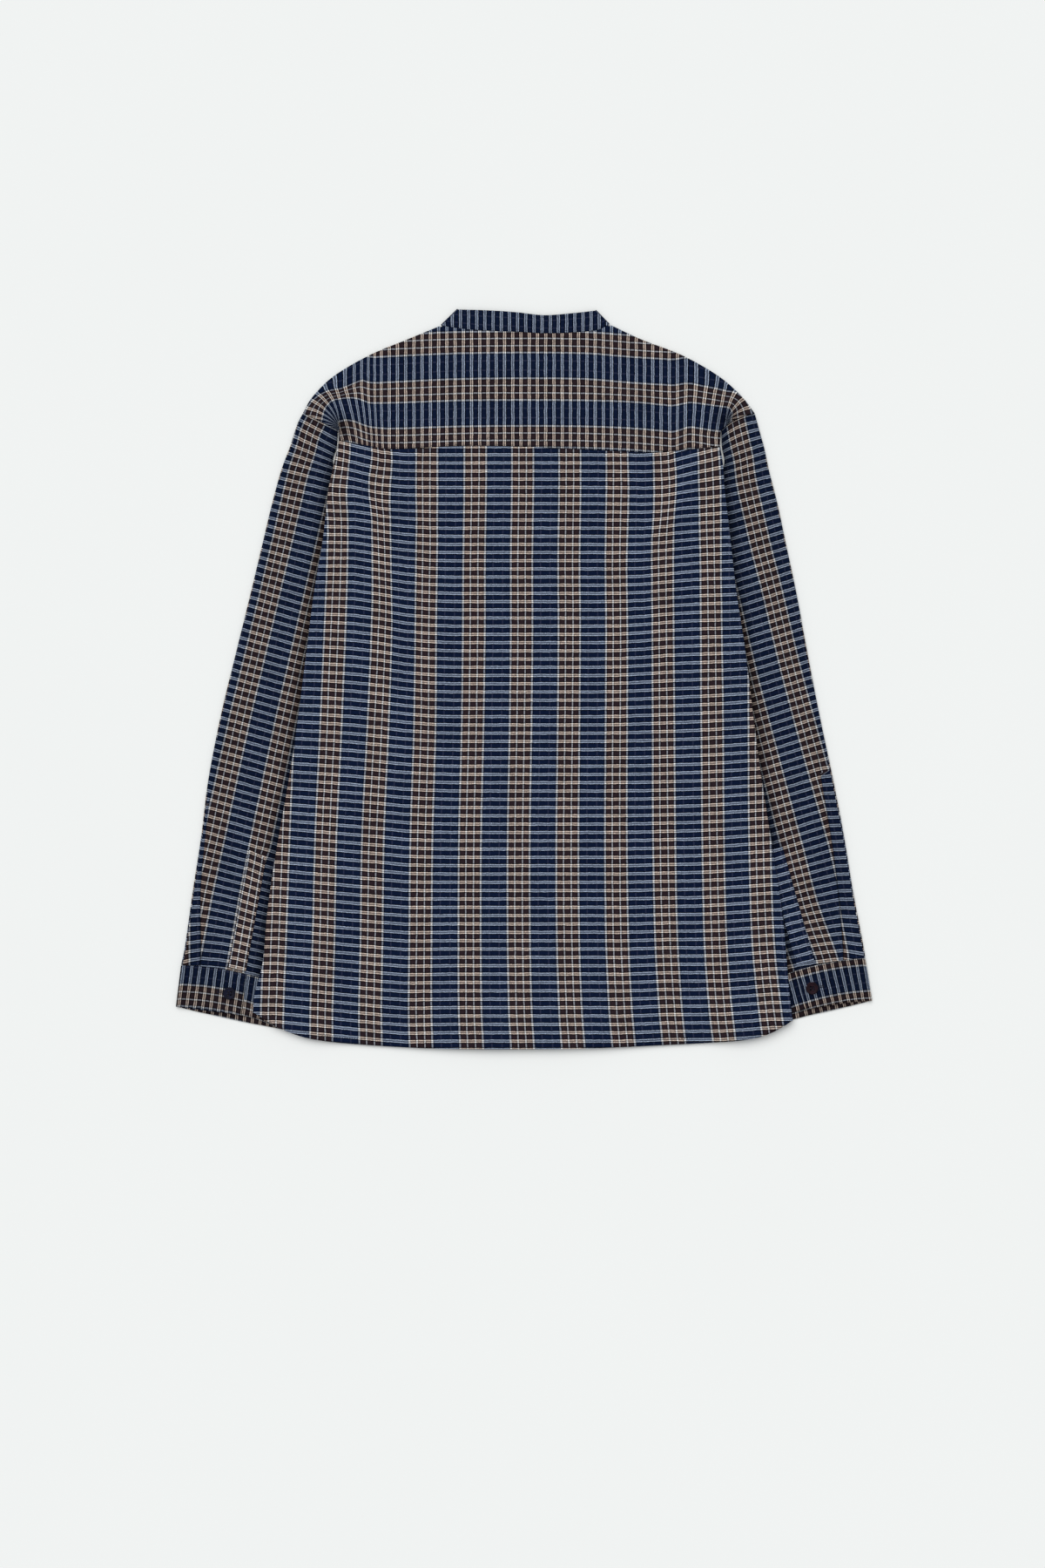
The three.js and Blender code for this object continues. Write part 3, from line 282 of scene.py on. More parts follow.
def follow(table, given, wanted, place):
    """A smooth curve through the rows of a table: one column's value at a place in another."""
    xs = np.array(table[given], float) if isinstance(given, str) else np.array(given, float)
    ys = np.array(table[wanted], float)
    if xs[0] > xs[-1]:
        xs, ys = xs[::-1], ys[::-1]
    place = np.asarray(place, float)
    before = np.r_[0, np.arange(len(xs) - 1)]
    after = np.r_[np.arange(1, len(xs)), len(xs) - 1]
    slope = (ys[after] - ys[before]) / (xs[after] - xs[before])
    k = np.clip(np.searchsorted(xs, place) - 1, 0, len(xs) - 2)
    span = xs[k + 1] - xs[k]
    t = np.clip((place - xs[k]) / span, 0, 1)
    start = 2 * t**3 - 3 * t**2 + 1
    bend = (t**3 - 2 * t**2 + t) * span * slope[k]
    unbend = (t**3 - t**2) * span * slope[k + 1]
    return start * ys[k] + (1 - start) * ys[k + 1] + bend + unbend


def rows_of(table, wanted, place):
    """A column of a table at a place counted in rows."""
    return follow(table, np.arange(len(table[wanted])), wanted, place)


def arc_length(points):
    return np.r_[0, np.cumsum(np.linalg.norm(np.diff(points, axis=0), axis=-1))]


def row_points(table, name, place):
    """A point of a table's columns name_x and name_y at a place counted in rows."""
    return pair(rows_of(table, f"{name}_x", place), rows_of(table, f"{name}_y", place))


def pair(x, y):
    return np.stack(np.broadcast_arrays(np.asarray(x, float), np.asarray(y, float)), axis=-1)


def fill_patch(top, bottom, left, right, across, down):
    s, t = across[None, :, None], down[:, None, None]
    inside = lerp(top[None], bottom[None], t)
    left_pull = left[:, None] - lerp(top[0], bottom[0], down[:, None])[:, None]
    right_pull = right[:, None] - lerp(top[-1], bottom[-1], down[:, None])[:, None]
    return inside + left_pull * (1 - s) + right_pull * s


def unit(vector):
    return vector / np.linalg.norm(vector, axis=-1, keepdims=True)


def fold_point(flat, outward, angle, lift=0.0):
    turn = math.radians(angle)
    plan = flat[..., :2] + outward * FOLD_RADIUS * math.cos(turn)
    return raised(plan, MIDDLE + lift + FOLD_RADIUS * math.sin(turn))


def fold_points(flat, outward, way=1):
    """The rounded fold between two layers, from the upper one down, or up where way is -1."""
    return [fold_point(flat, outward, angle) for angle in FOLD_TURNS[::way]]


def raised(plan, z):
    return np.concatenate([plan, np.broadcast_to(z, plan.shape[:-1])[..., None]], axis=-1)


def body_lift(x, y, layer):
    total = np.zeros(np.broadcast(x, y).shape)
    start = follow(YOKE_SEAM, "x", "y", x)
    from_seam = ramp(start - y, layer["seam_start"], layer["seam_end"])
    for side, sign in SIGN.items():
        inner = follow(SLEEVE[side], "inner_y", "inner_x", y)
        inwards = (inner - x) * sign
        near = 1 - ramp(inwards, layer["clear"], layer["clear"] + layer["run"])
        total = np.where(np.sign(x) == sign, LIFT[side] * from_seam * near, total)
    return total


def front_rise(side, x):
    """How high a front lies above the buttons or the buttonhole strip."""
    if side == "left":
        return RISE_LEFT * ramp(x, -PLACKET_HALF - RISE_RUN, -PLACKET_HALF - 1)
    return RISE_RIGHT * (1 - ramp(x, RISE_START, RISE_START + RISE_RUN))


def rise_back(x, y):
    across = 1 - ramp(np.abs(x), RISE_START, RISE_START + BACK_RUN)
    return RISE_BACK * across * (1 - ramp(y, NECK_RISE_FULL, NECK_RISE_START))


def fold_shape(x, y):
    """Height of the back's folds, and how far each moves the cloth's own lines."""
    height = np.zeros(np.broadcast(x, y).shape)
    shift = np.zeros(height.shape + (2,))
    for fold in FOLDS:
        start = np.array(fold["start"], float)
        run = np.array(fold["end"], float) - start
        length = np.hypot(*run)
        run = run / length
        offset_x, offset_y = x - start[0], y - start[1]
        along = (offset_x * run[0] + offset_y * run[1]) / length
        aside = (offset_x * run[1] - offset_y * run[0]) / fold["width"]
        outside, inside = RIDGE_END
        fade = ramp(along, -outside, inside) * (1 - ramp(along, 1 - inside, 1 + outside))
        bump = fade * np.exp(-aside * aside)
        height += fold["height"] * bump
        shift += (fold["take"] * aside * bump)[..., None] * np.array([run[1], -run[0]])
    return height, shift


def body_edge(side, y):
    return pair(follow(BODY_EDGES, "y", side, y) - SIGN[side] * FOLD_REACH, y)


def front_hem_y(x):
    from_corner = np.minimum(x - HEM["x"][0], HEM["x"][-1] - x)
    return follow(HEM, "x", "y", x) + FRONT_HEM_RISE * ramp(from_corner, 0, HEM_CORNER_RUN)


def row_shares(count):
    """Rows of a body panel, close together where it climbs onto the sleeves."""
    climb = CLIMB / (YOKE_SEAM["y"][0] - HEM["y"][0])
    close = steps(max(4, count // 8)) * climb
    wide = lerp(climb, 1.0, steps(count)[1:] ** ROW_CROWDING)
    return np.r_[close, wide]


def side_rows(side, shares):
    end = 0 if side == "left" else -1
    return lerp(YOKE_SEAM["y"][end] - SEAM_GAP, HEM["y"][end], shares)


def neckline(side, angle, gap=0.0):
    turn = np.radians(angle)
    x = SIGN[side] * (NECK_HALF[side] - gap) * np.cos(turn)
    return pair(x, NECK_Y - (NECK_DEPTH - gap) * np.sin(turn))


def front_edge_angle(side):
    edge = PLACKET_HALF + SEAM_GAP if side == "left" else -FRONT_OVERLAP
    return math.degrees(math.acos(edge / NECK_HALF[side]))


def section_point(side, index, distance):
    """Places on the sleeve's cross sections, by section (it may be between two) and distance."""
    table = SLEEVE[side]
    outer, inner = row_points(table, "outer", index), row_points(table, "inner", index)
    run = unit(inner - outer)
    share = distance / np.linalg.norm(inner - outer, axis=-1)
    up = -SIGN[side] * np.stack([-run[..., 1], run[..., 0]], axis=-1)
    bow = rows_of(table, "bow", index) * 4 * share * (1 - share)
    return outer + run * np.asarray(distance)[..., None] + up * bow[..., None]


# The cloth's own lines

# The plaid's repeat across, its pairs of cross lines, and a border line's distance from a band
WARP = 50.0
PAIR = 8.7
BORDER = 11.4
# The back's cross lines are counted from a line by its top, and their spacing changes downwards
BACK_TOP = 236.2
BACK_STRETCH = (1.0164, 2.7e-5)
# The fronts' bands, and how far the buttonhole strip's cloth lies from the left front's
FRONT_CLOTH = dict(middle=-2.0, apart=50.6, stretch=0.995)
PLACKET_SHIFT = (21.0, 3.1)

# Bands on the back: where the middle one runs and how far apart they are, by height
BANDS = dict(
    y=[260, 202, 128, 55, -55, -166, -276, -350, -390],
    middle=[-1.5, -1.5, -2.6, -2.5, -3.7, -5.6, -5.5, -3.9, -1.5],
    apart=[49.7, 49.8, 49.9, 50.2, 50.6, 51.3, 51.9, 52.9, 53.5],
)
# How far some bands lie to the right of that even spacing, where the cloth is rumpled
BAND_SHIFT = dict(
    y=[250, 234, 202, 165, 128, 55, -55, -166, -276, -390],
    fifth_left=[7, 7, 7, 6.5, 6, 4.5, 3, 4, 2.5, 3.5],
    fourth_left=[9, 7.8, 2.5, 5.8, 6, 4.3, 2.4, 1.9, 1.9, 1.9],
    third_left=[-1.5, 0.4, -1.5, 0.4, 2.2, 3.6, 1.4, 0, 0, 0],
    second_left=[-2, -2, -1.5, -1, -0.8, -1.4, 0, 0, 0, 0],
    third_right=[0, 0.2, 1.1, 0, -1.3, -2.1, -1.4, -0.7, 0, 0],
    fourth_right=[-4, -3.2, -2, -1.2, -0.2, -0.8, 0, 0, 0, 0],
    fifth_right=[-2.5, -2.2, -1.6, -1.2, -0.9, -1.3, -1.8, -2.9, -2.4, -0.8],
)
SHIFTED = dict(
    fifth_left=-5, fourth_left=-4, third_left=-3, second_left=-2,
    third_right=3, fourth_right=4, fifth_right=5,
)
# How much higher the back's cross lines run than in the middle, by height, at places that
# far from the middle
SIDE_RISE = {
    "left": dict(
        y=[240, 193, 119, 46, -28, -101, -175, -249, -322],
        at_100=[0.3, 0.3, 0.6, 1.0, 0.8, 0.8, 0.4, -0.3, -0.5],
        at_125=[0.6, 0.8, 3.0, 3.3, 3.0, 2.0, 1.2, -0.3, -1.0],
        at_150=[3.0, 3.2, 6.5, 7.7, 6.1, 4.3, 3.8, 1.6, 0.8],
        at_180=[10.0, 8.0, 11.6, 11.3, 9.1, 7.0, 6.2, 4.0, 3.6],
        at_210=[17.0, 10.4, 11.6, 12.8, 10.9, 9.2, 8.8, 6.7, 6.8],
        at_260=[24.0, 13.0, 11.6, 14.0, 13.0, 12.5, 13.0, 11.0, 11.5],
    ),
    "right": dict(
        y=[240, 193, 119, 46, -28, -101, -175, -249, -322],
        at_100=[0.0, -0.2, 0.0, 0.2, 0.4, 0.2, 0.0, -0.3, -0.4],
        at_125=[0.0, -0.6, 0.5, 1.7, 1.3, 0.4, 0.4, 0.2, 0.2],
        at_150=[1.5, 0.9, 3.0, 4.0, 2.4, 1.1, 1.2, 0.9, 1.3],
        at_180=[9.0, 4.6, 5.9, 5.4, 3.5, 2.0, 1.8, 1.2, 1.2],
        at_210=[16.0, 8.2, 7.5, 6.3, 5.1, 3.5, 3.2, 2.5, 1.6],
        at_260=[24.0, 10.5, 9.5, 8.5, 8.5, 7.0, 6.7, 6.0, 5.5],
    ),
}
RISE_PLACES = dict(at_100=100, at_125=125, at_150=150, at_180=180, at_210=210, at_260=260)
RISE_FROM = 75


def band_shift(count, y):
    """The shift at a place counted in bands from the middle one."""
    total = np.zeros(np.broadcast(count, y).shape)
    for name, place in SHIFTED.items():
        near = 1 - np.clip(np.abs(count - place), 0, 1)
        total += near * follow(BAND_SHIFT, "y", name, y)
    left, right = (follow(BAND_SHIFT, "y", name, y) for name in ("fifth_left", "fifth_right"))
    return np.where(np.abs(count) > 5, np.where(count < 0, left, right), total)


def back_lines(x, y):
    rise = np.zeros(np.broadcast(x, y).shape)
    for side, sign in SIGN.items():
        table = SIDE_RISE[side]
        near, near_rise = RISE_FROM, 0.0
        for name, far in RISE_PLACES.items():
            far_rise = follow(table, "y", name, y)
            rise += (far_rise - near_rise) * np.clip((sign * x - near) / (far - near), 0, 1)
            near, near_rise = far, far_rise
    down = BACK_TOP - (y - rise)
    v = -(BACK_STRETCH[0] * down - BACK_STRETCH[1] * down**2)
    apart = follow(BANDS, "y", "apart", y)
    from_middle = x - follow(BANDS, "y", "middle", y)
    u = (from_middle - band_shift(from_middle / apart, y)) / apart * WARP
    return pair(u, v)


def front_lines(x, y):
    return pair((x - FRONT_CLOTH["middle"]) / FRONT_CLOTH["apart"] * WARP, y * FRONT_CLOTH["stretch"])


# Three of the yoke's cross lines (both borders of its middle band and the upper one of the
# lowest band): their height where the yoke lies flat, and how far they sink towards its sides
YOKE_LINES = dict(third=(266.4, -38.6), bottom=(293.6, -11.4), top=(316.4, 11.4))
YOKE_SINK = dict(
    x=[-195, -187, -178, -171, -164, -158, -140, -60, 60, 116, 150, 158, 166, 175, 187, 201, 214],
    third=[-5.8, -7, -5.3, -2.4, -0.1, 1.1, 2, 0, 0, 2, 4.8, 5.5, 3, 0.5, 2, 4.3, 5],
    bottom=[-2.2, -3.3, -2.8, -0.7, 2.1, 2.4, 2.2, 0, 0, 1.4, 4.6, 5.1, 3.6, 1.7, 3, 5, 6.6],
    top=[10.9, 7.6, 3.9, 1.4, 3.4, 3.9, 3, 0, 0, 4, 6, 6.4, 5, 4.4, 6.8, 9.5, 12.5],
)
# The yoke's pair lines: where the count starts, and their spacing
YOKE_PAIRS = dict(start=-81.4, apart=8.69)
# The pair lines crowd together where the yoke is gathered into a soft fold
YOKE_GATHER = dict(x=-168, lean=0.15, lean_from=290, half=20, take=16.5)
# Over each shoulder the yoke's bands turn round a pivot: the middle band's radius beside it, and
# how the pair lines lean on their way there
LEAN_REACH = (-15, 42)
FAN_EASE = 1.3
FAN = {
    "left": dict(pivot=(-195, 266), radius=29.6, narrow=1.15, turn=36.0, lean=0.28, lean_from=42),
    "right": dict(pivot=(214, 273), radius=16, narrow=1.0, turn=22.0, lean=-0.2, lean_from=50),
}
# The collar's pair lines, and the part of the cloth's repeat that lies across it
COLLAR_PAIRS = dict(start=-67.1, apart=8.62)
COLLAR_BANDS = dict(start=13.5, across=23.5)
# Where a sleeve's bands run, by row: how far the first one lies from the outer edge, and how far
# apart they are
SLEEVE_LINES = {
    "left": dict(
        row=[0, 2, 4, 6, 8, 9, 10, 11, 12, 13],
        first=[16, 17, 19.5, 20, 20.5, 18.9, 13.8, 9.8, 6.8, 6.5],
        apart=[46, 46, 46, 46, 48, 49, 49.5, 52, 52.5, 53],
    ),
    "right": dict(
        row=[0, 2, 4, 6, 7, 8, 9, 10, 11, 12, 13],
        first=[22, 24.5, 27.5, 24.7, 21.5, 17.3, 12.9, 7.3, 2.8, -6, -8.3],
        apart=[46, 46, 46, 46, 46, 46.5, 47.5, 49, 48, 48, 48],
    ),
}
# How much more the cross lines slope than straight across the sleeve, by row, and how far from
# its outer edge they are level
LEAN_FROM = 20.0
SLEEVE_LEAN = dict(
    row=[0, 3, 4, 6, 9, 10, 11, 13],
    left=[0.0, -0.04, 0.01, 0.04, 0.03, 0.0, -0.05, -0.05],
    right=[0.0, -0.1, 0.0, 0.04, 0.02, 0.0, -0.08, -0.06],
)
# The strip that the pleat uncovers: the X of its border line on the left sleeve, and how far
# the line lies from the outer edge on the right one
STRIP_BORDER = {"left": -353.0, "right": 17.7}
# How much that strip's cross lines slope
STRIP_LEVEL = 0.26
# Right of the left sleeve's slit the cloth is another layer, a little further round
SLIT = {"left": dict(row=[10, 13], distance=[62.8, 59.2], jump=5.0, soft=4, starts=(9.8, 10.4))}
# The cuffs' cloth: its bands' start, how far it turns on the under side, and its pairs
CUFF_CLOTH = {
    "left": dict(start=-31.6, turn=7.0, pairs_from=3.4),
    "right": dict(start=4.0, turn=0.0, pairs_from=2.0),
}
CUFF_PAIRS_APART = 8.45
# Where the cloth of each sleeve's strip starts, across its bands and along them
STRIP_START = {"left": (-11.6, 1.6), "right": (14.0, 1.6)}

# Painted shade: how much darker some pieces are painted than the back, the sleeves and cuffs
# as if lying lower in shadow, and the painted shadow round the shoulder pivots and beside the body's edge
COLLAR_SHADE = 0.1
YOKE_SHADE = 0.09
ARMHOLE_SHADE = 0.55
ARMHOLE_REACH = 14.0
SLEEVE_SHADE = 0.19
CUFF_SHADE = 0.33
PAINTED_SHADOW = 0.5
PAINTED_SHADOW_REACH = 9.0


def across_yoke(x, y):
    """Where the yoke's cloth lies across its bands, from the three lines that are known."""
    heights, places = [], []
    for name, (height, place) in YOKE_LINES.items():
        heights.append(height - follow(YOKE_SINK, "x", name, x))
        places.append(place)
    u = places[0] + (y - heights[0])
    for k in (1, 2):
        span = heights[k] - heights[k - 1]
        between = lerp(places[k - 1], places[k], (y - heights[k - 1]) / span)
        u = np.where(y > heights[k - 1], between, u)
    return np.where(y > heights[-1], places[-1] + (y - heights[-1]), u)


def along_yoke(x, y):
    gather = YOKE_GATHER
    centre = gather["x"] + gather["lean"] * np.clip(gather["lean_from"] - y, 0, None)
    gathered = 1 - ramp(x, centre - gather["half"], centre + gather["half"])
    return (x - YOKE_PAIRS["start"]) * PAIR / YOKE_PAIRS["apart"] - gather["take"] * gathered


def yoke_lines(x, y):
    """The yoke is cut across: its bands run from arm to arm and turn down over each shoulder."""
    u, v = across_yoke(x, y), along_yoke(x, y)
    for side, sign in SIGN.items():
        fan = FAN[side]
        px, py = fan["pivot"]
        outwards = (x - px) * sign
        v = v + fan["lean"] * np.clip(y - py, *LEAN_REACH) * ramp(outwards, -fan["lean_from"], 0)
        angle = np.arctan2(outwards, y - py)
        distance = np.hypot(x - px, y - py)
        straight_up = across_yoke(np.full(np.shape(x), float(px)), py + distance)
        beside = (distance - fan["radius"]) * fan["narrow"]
        turned = lerp(straight_up, beside, ramp(angle, 0, FAN_EASE))
        edge_v = along_yoke(px, py) + fan["lean"] * np.clip(distance, 0, LEAN_REACH[1])
        u = np.where(outwards > 0, turned, u)
        v = np.where(outwards > 0, edge_v + sign * angle * fan["turn"], v)
    return pair(u, v)


# Materials


def rgb(red, green, blue):
    def linear(value):
        value /= 255
        return value / 12.92 if value <= 0.04045 else ((value + 0.055) / 1.055) ** 2.4
    return (linear(red), linear(green), linear(blue), 1.0)


class Nodes:
    """Short names for building a material's nodes."""

    def __init__(self, name):
        self.material = bpy.data.materials.new(name)
        self.material.use_nodes = True
        self.tree = self.material.node_tree
        self.shader = self.tree.nodes["Principled BSDF"]

    def new(self, kind, **settings):
        node = self.tree.nodes.new(kind)
        for key, value in settings.items():
            setattr(node, key, value)
        return node

    def link(self, source, target):
        if isinstance(source, (int, float, tuple)):
            target.default_value = source
        else:
            self.tree.links.new(source, target)

    def set(self, **inputs):
        """Give the shader's inputs: a name's underscores stand for spaces."""
        for key, value in inputs.items():
            self.link(value, self.shader.inputs[key.replace("_", " ")])

    def math(self, operation, a, b=0.0, clamp=False):
        node = self.new("ShaderNodeMath", operation=operation, use_clamp=clamp)
        self.link(a, node.inputs[0])
        self.link(b, node.inputs[1])
        return node.outputs[0]

    def plus(self, a, b):
        return self.math("ADD", a, b)

    def minus(self, a, b, clamp=False):
        return self.math("SUBTRACT", a, b, clamp)

    def times(self, a, b):
        return self.math("MULTIPLY", a, b)

    def larger(self, a, b):
        return self.math("MAXIMUM", a, b)

    def from_line(self, place, every):
        """The distance from the nearest of evenly spaced lines, in shares of their spacing."""
        share = self.plus(self.math("DIVIDE", place, every), 0.5)
        return self.math("ABSOLUTE", self.minus(self.math("FRACT", share), 0.5))

    def between(self, value, low, high, to_low=0.0, to_high=1.0, kind="SMOOTHSTEP"):
        node = self.new("ShaderNodeMapRange", interpolation_type=kind)
        names = ("Value", "From Min", "From Max", "To Min", "To Max")
        for key, item in zip(names, (value, low, high, to_low, to_high)):
            self.link(item, node.inputs[key])
        return node.outputs[0]

    def evenly(self, value, low, high, to_low, to_high):
        return self.between(value, low, high, to_low, to_high, "LINEAR")

    def grid(self, *parts):
        node = self.new("ShaderNodeCombineXYZ")
        for part, target in zip(parts, node.inputs):
            self.link(part, target)
        return node.outputs[0]

    def grey(self, value):
        return self.grid(value, value, value)

    def noise(self, place, scale=1.0, detail=2.0, **settings):
        node = self.new("ShaderNodeTexNoise", **settings)
        self.link(place, node.inputs["Vector"])
        self.link(scale, node.inputs["Scale"])
        self.link(detail, node.inputs["Detail"])
        return node.outputs["Fac"]

    def cloth_noise(self, u, v, scale=1.0, detail=2.0):
        return self.noise(self.grid(u, v), scale, detail, noise_dimensions="2D")

    def yarn_noise(self, u, v, across, along, detail):
        """Noise drawn out along the yarns."""
        return self.cloth_noise(self.times(u, across), self.times(v, along), 1.0, detail)

    def grain(self, scale, detail):
        """Noise in the object's own space."""
        return self.noise(self.new("ShaderNodeTexCoord").outputs["Object"], scale, detail)

    def ramp(self, value, stops):
        node = self.new("ShaderNodeValToRGB")
        elements = node.color_ramp.elements
        while len(elements) < len(stops):
            elements.new(0.5)
        for element, (place, colour) in zip(elements, stops):
            element.position = place
            element.color = colour
        self.link(value, node.inputs[0])
        return node.outputs[0]

    def mix(self, share, a, b, blend="MIX"):
        node = self.new("ShaderNodeMix", data_type="RGBA", blend_type=blend)
        for item, place in ((share, 0), (a, 6), (b, 7)):
            self.link(item, node.inputs[place])
        return node.outputs[2]

    def bump(self, height, strength, distance):
        node = self.new("ShaderNodeBump")
        for key, value in (("Height", height), ("Strength", strength), ("Distance", distance)):
            self.link(value, node.inputs[key])
        self.set(Normal=node.outputs[0])


NAVY = rgb(11, 23, 49)
NAVY_FAINT = rgb(38, 44, 68)
BROWN = rgb(42, 31, 36)
INNER_LINE = rgb(144, 146, 154)
BORDER_LINE = rgb(124, 130, 143)
PAIR_ON_NAVY = rgb(178, 193, 216)
PAIR_ON_BROWN = rgb(242, 221, 206)
PAIR_ON_LINE = rgb(255, 254, 249)
BLACK = rgb(0, 0, 0)
WHITE = rgb(255, 255, 255)
THREAD_PITCH = 0.46
LINE_FROM_PAIR = 1.1
LINE_HALF = (0.34, 0.62)
LINE_STRENGTH = (0.5, 1.0)
# Painted shade, a dark halo as if cast by the proud yarns: how dark the ground is beside the
# upright lines, under their crossings and beside a pair
GROUND_BESIDE = 0.45
CROSSING_BESIDE = 0.75
PAIR_BESIDE = 0.25
BETWEEN_PAIR = 0.2


def dimmed(colour, share):
    return tuple(value * share for value in colour[:3]) + (1.0,)


def band_stops(brown, inner, border, navy, faint, beside, wider=0.0):
    """Colours across half a repeat, from the middle of a brown band to the middle of a navy one.

    The ground is darker just beside each line, by the given share: painted shade where the line stands
    proud.
    """
    half = WARP / 2
    soft = 0.22
    stops = [(0.0, brown)]
    for place, width, colour, before, after in (
        (3.9, 1.15, inner, brown, brown),
        (11.3, 1.5, border, brown, navy),
        (20.0, 1.3, faint, navy, navy),
    ):
        share = beside if colour is not faint else 1.0
        low, high = place - width / 2 - wider, place + width / 2 + wider
        stops += [((low - 1.6) / half, before), ((low - 0.5) / half, dimmed(before, share))]
        stops += [((low - soft) / half, dimmed(before, share)), ((low + soft) / half, colour)]
        stops += [((high - soft) / half, colour), ((high + soft) / half, dimmed(after, share))]
        stops += [((high + 0.5) / half, dimmed(after, share)), ((high + 1.6) / half, after)]
    return stops


def plaid_material(name):
    n = Nodes(name)
    parts = n.new("ShaderNodeSeparateXYZ")
    n.link(n.new("ShaderNodeUVMap", uv_map="cloth").outputs[0], parts.inputs[0])
    u, v = parts.outputs[0], parts.outputs[1]

    # Hand-spun yarn wanders a little
    u_line = n.plus(u, n.times(n.minus(n.cloth_noise(v, u, 0.16, 2), 0.5), 0.7))
    v_line = n.plus(v, n.times(n.minus(n.cloth_noise(u, v, 0.12, 3), 0.5), 0.9))

    # The ground's upright lines, with painted shade beside each, and the colours that the cross lines
    # have over each of them
    across = n.times(n.from_line(u_line, WARP), 2.0)
    stops = band_stops(BROWN, INNER_LINE, BORDER_LINE, NAVY, NAVY_FAINT, GROUND_BESIDE)
    ground = n.ramp(across, stops)
    pale = (PAIR_ON_BROWN, PAIR_ON_LINE, PAIR_ON_LINE, PAIR_ON_NAVY, PAIR_ON_NAVY)
    crossing = n.ramp(across, band_stops(*pale, CROSSING_BESIDE, wider=0.2))
    emphasis = n.ramp(across, band_stops(BLACK, WHITE, WHITE, BLACK, BLACK, 1.0, wider=0.2))

    # The pairs of cross lines, uneven in width and in strength
    down = n.times(n.from_line(v_line, PAIR), PAIR)
    from_line = n.math("ABSOLUTE", n.minus(down, LINE_FROM_PAIR))
    width = n.evenly(n.yarn_noise(u, v, 0.35, 1.6, 2), 0.25, 0.75, *LINE_HALF)
    line = n.minus(1.0, n.between(from_line, n.times(width, 0.5), width), clamp=True)
    strength = n.evenly(n.yarn_noise(u, v, 0.9, 1.9, 1), 0.3, 0.66, *LINE_STRENGTH)
    strength = n.larger(strength, emphasis)
    inside = n.between(down, 0.4, LINE_FROM_PAIR, 1.0, 0.0)
    # Painted shade: the ground darkens just outside each pair, as if shaded by the proud yarns
    beside = n.larger(n.between(down, 1.9, 3.0, PAIR_BESIDE, 1.0), inside)
    ground = n.mix(1.0, ground, n.grey(beside), "MULTIPLY")
    line = n.larger(line, n.times(inside, BETWEEN_PAIR))
    colour = n.mix(n.times(line, strength), ground, crossing)

    # Uneven yarns: streaks along the cross yarns and, fainter, along the long ones
    streak = n.yarn_noise(u, v, 0.3, 2.4, 2)
    lengthwise = n.yarn_noise(u, v, 2.2, 0.2, 1)
    cloud = n.cloth_noise(u, v, 0.035, 2)
    value = n.evenly(streak, 0.25, 0.75, 0.76, 1.26)
    value = n.plus(value, n.evenly(lengthwise, 0.25, 0.75, -0.12, 0.12))
    value = n.times(value, n.evenly(cloud, 0.3, 0.7, 0.94, 1.06))
    # Painted shade: the colour is darkened by the mesh's shade map, which holds the painted shadows and
    # the darker tone painted on some pieces
    painted_shade_map = n.new("ShaderNodeSeparateXYZ")
    n.link(n.new("ShaderNodeUVMap", uv_map="shade").outputs[0], painted_shade_map.inputs[0])
    value = n.times(value, n.minus(1.0, painted_shade_map.outputs[0]))
    colour = n.mix(1.0, colour, n.grey(value), "MULTIPLY")

    # Plain weave: threads pass over and under each other, and the pale yarns stand a little proud
    waves = [n.math("SINE", n.times(place, 2 * math.pi / THREAD_PITCH)) for place in (u, v)]
    relief = n.plus(n.times(n.times(*waves), 0.06), n.times(line, 0.1))
    relief = n.plus(relief, n.times(n.cloth_noise(u, v, 0.22, 3), 0.5))
    relief = n.plus(relief, n.times(streak, 0.12))
    n.bump(relief, 0.6, MM)
    n.set(Base_Color=colour, Roughness=n.evenly(streak, 0.2, 0.8, 0.82, 0.95))
    n.set(Specular_IOR_Level=0.03, Sheen_Weight=0.01, Sheen_Roughness=0.6)
    return n.material


def object_material(name, colour, dark, scale, roughness, specular, relief):
    """A moulded or spun surface: fine mottling in the object's own space."""
    n = Nodes(name)
    grain = n.grain(scale, 4.0)
    spread = n.between(grain, 0.3, 0.7)
    n.set(Base_Color=n.mix(spread, dark, colour), Specular_IOR_Level=specular)
    n.set(Roughness=n.between(spread, 0.0, 1.0, roughness, roughness * 1.3))
    n.bump(grain, relief, 0.1 * MM)
    return n.material


# Making pieces


def mesh_object(name, vertices, faces, material, uv=None, shade=None):
    mesh = bpy.data.meshes.new(name)
    faces = faces if isinstance(faces, list) else faces.tolist()
    mesh.from_pydata(np.asarray(vertices).tolist(), [], faces)
    for layer_name, values in (("cloth", uv), ("shade", shade)):
        if values is not None:
            layer = mesh.uv_layers.new(name=layer_name)
            layer.data.foreach_set("uv", np.asarray(values, np.float32).ravel())
    mesh.polygons.foreach_set("use_smooth", [True] * len(mesh.polygons))
    mesh.materials.append(material)
    mesh.update()
    piece = bpy.data.objects.new(name, mesh)
    bpy.context.scene.collection.objects.link(piece)
    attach(piece, "root")
    return piece


def joined(parts):
    """Several meshes' vertices, in metres, and their faces, as one mesh."""
    vertices, faces, count = [], [], 0
    for part_vertices, part_faces in parts:
        vertices.append(part_vertices)
        faces += [[k + count for k in face] for face in part_faces]
        count += len(part_vertices)
    return np.concatenate(vertices) * MM, faces


def cell_corners(grid):
    return np.stack([grid[:-1, :-1], grid[:-1, 1:], grid[1:, 1:], grid[1:, :-1]], axis=2)


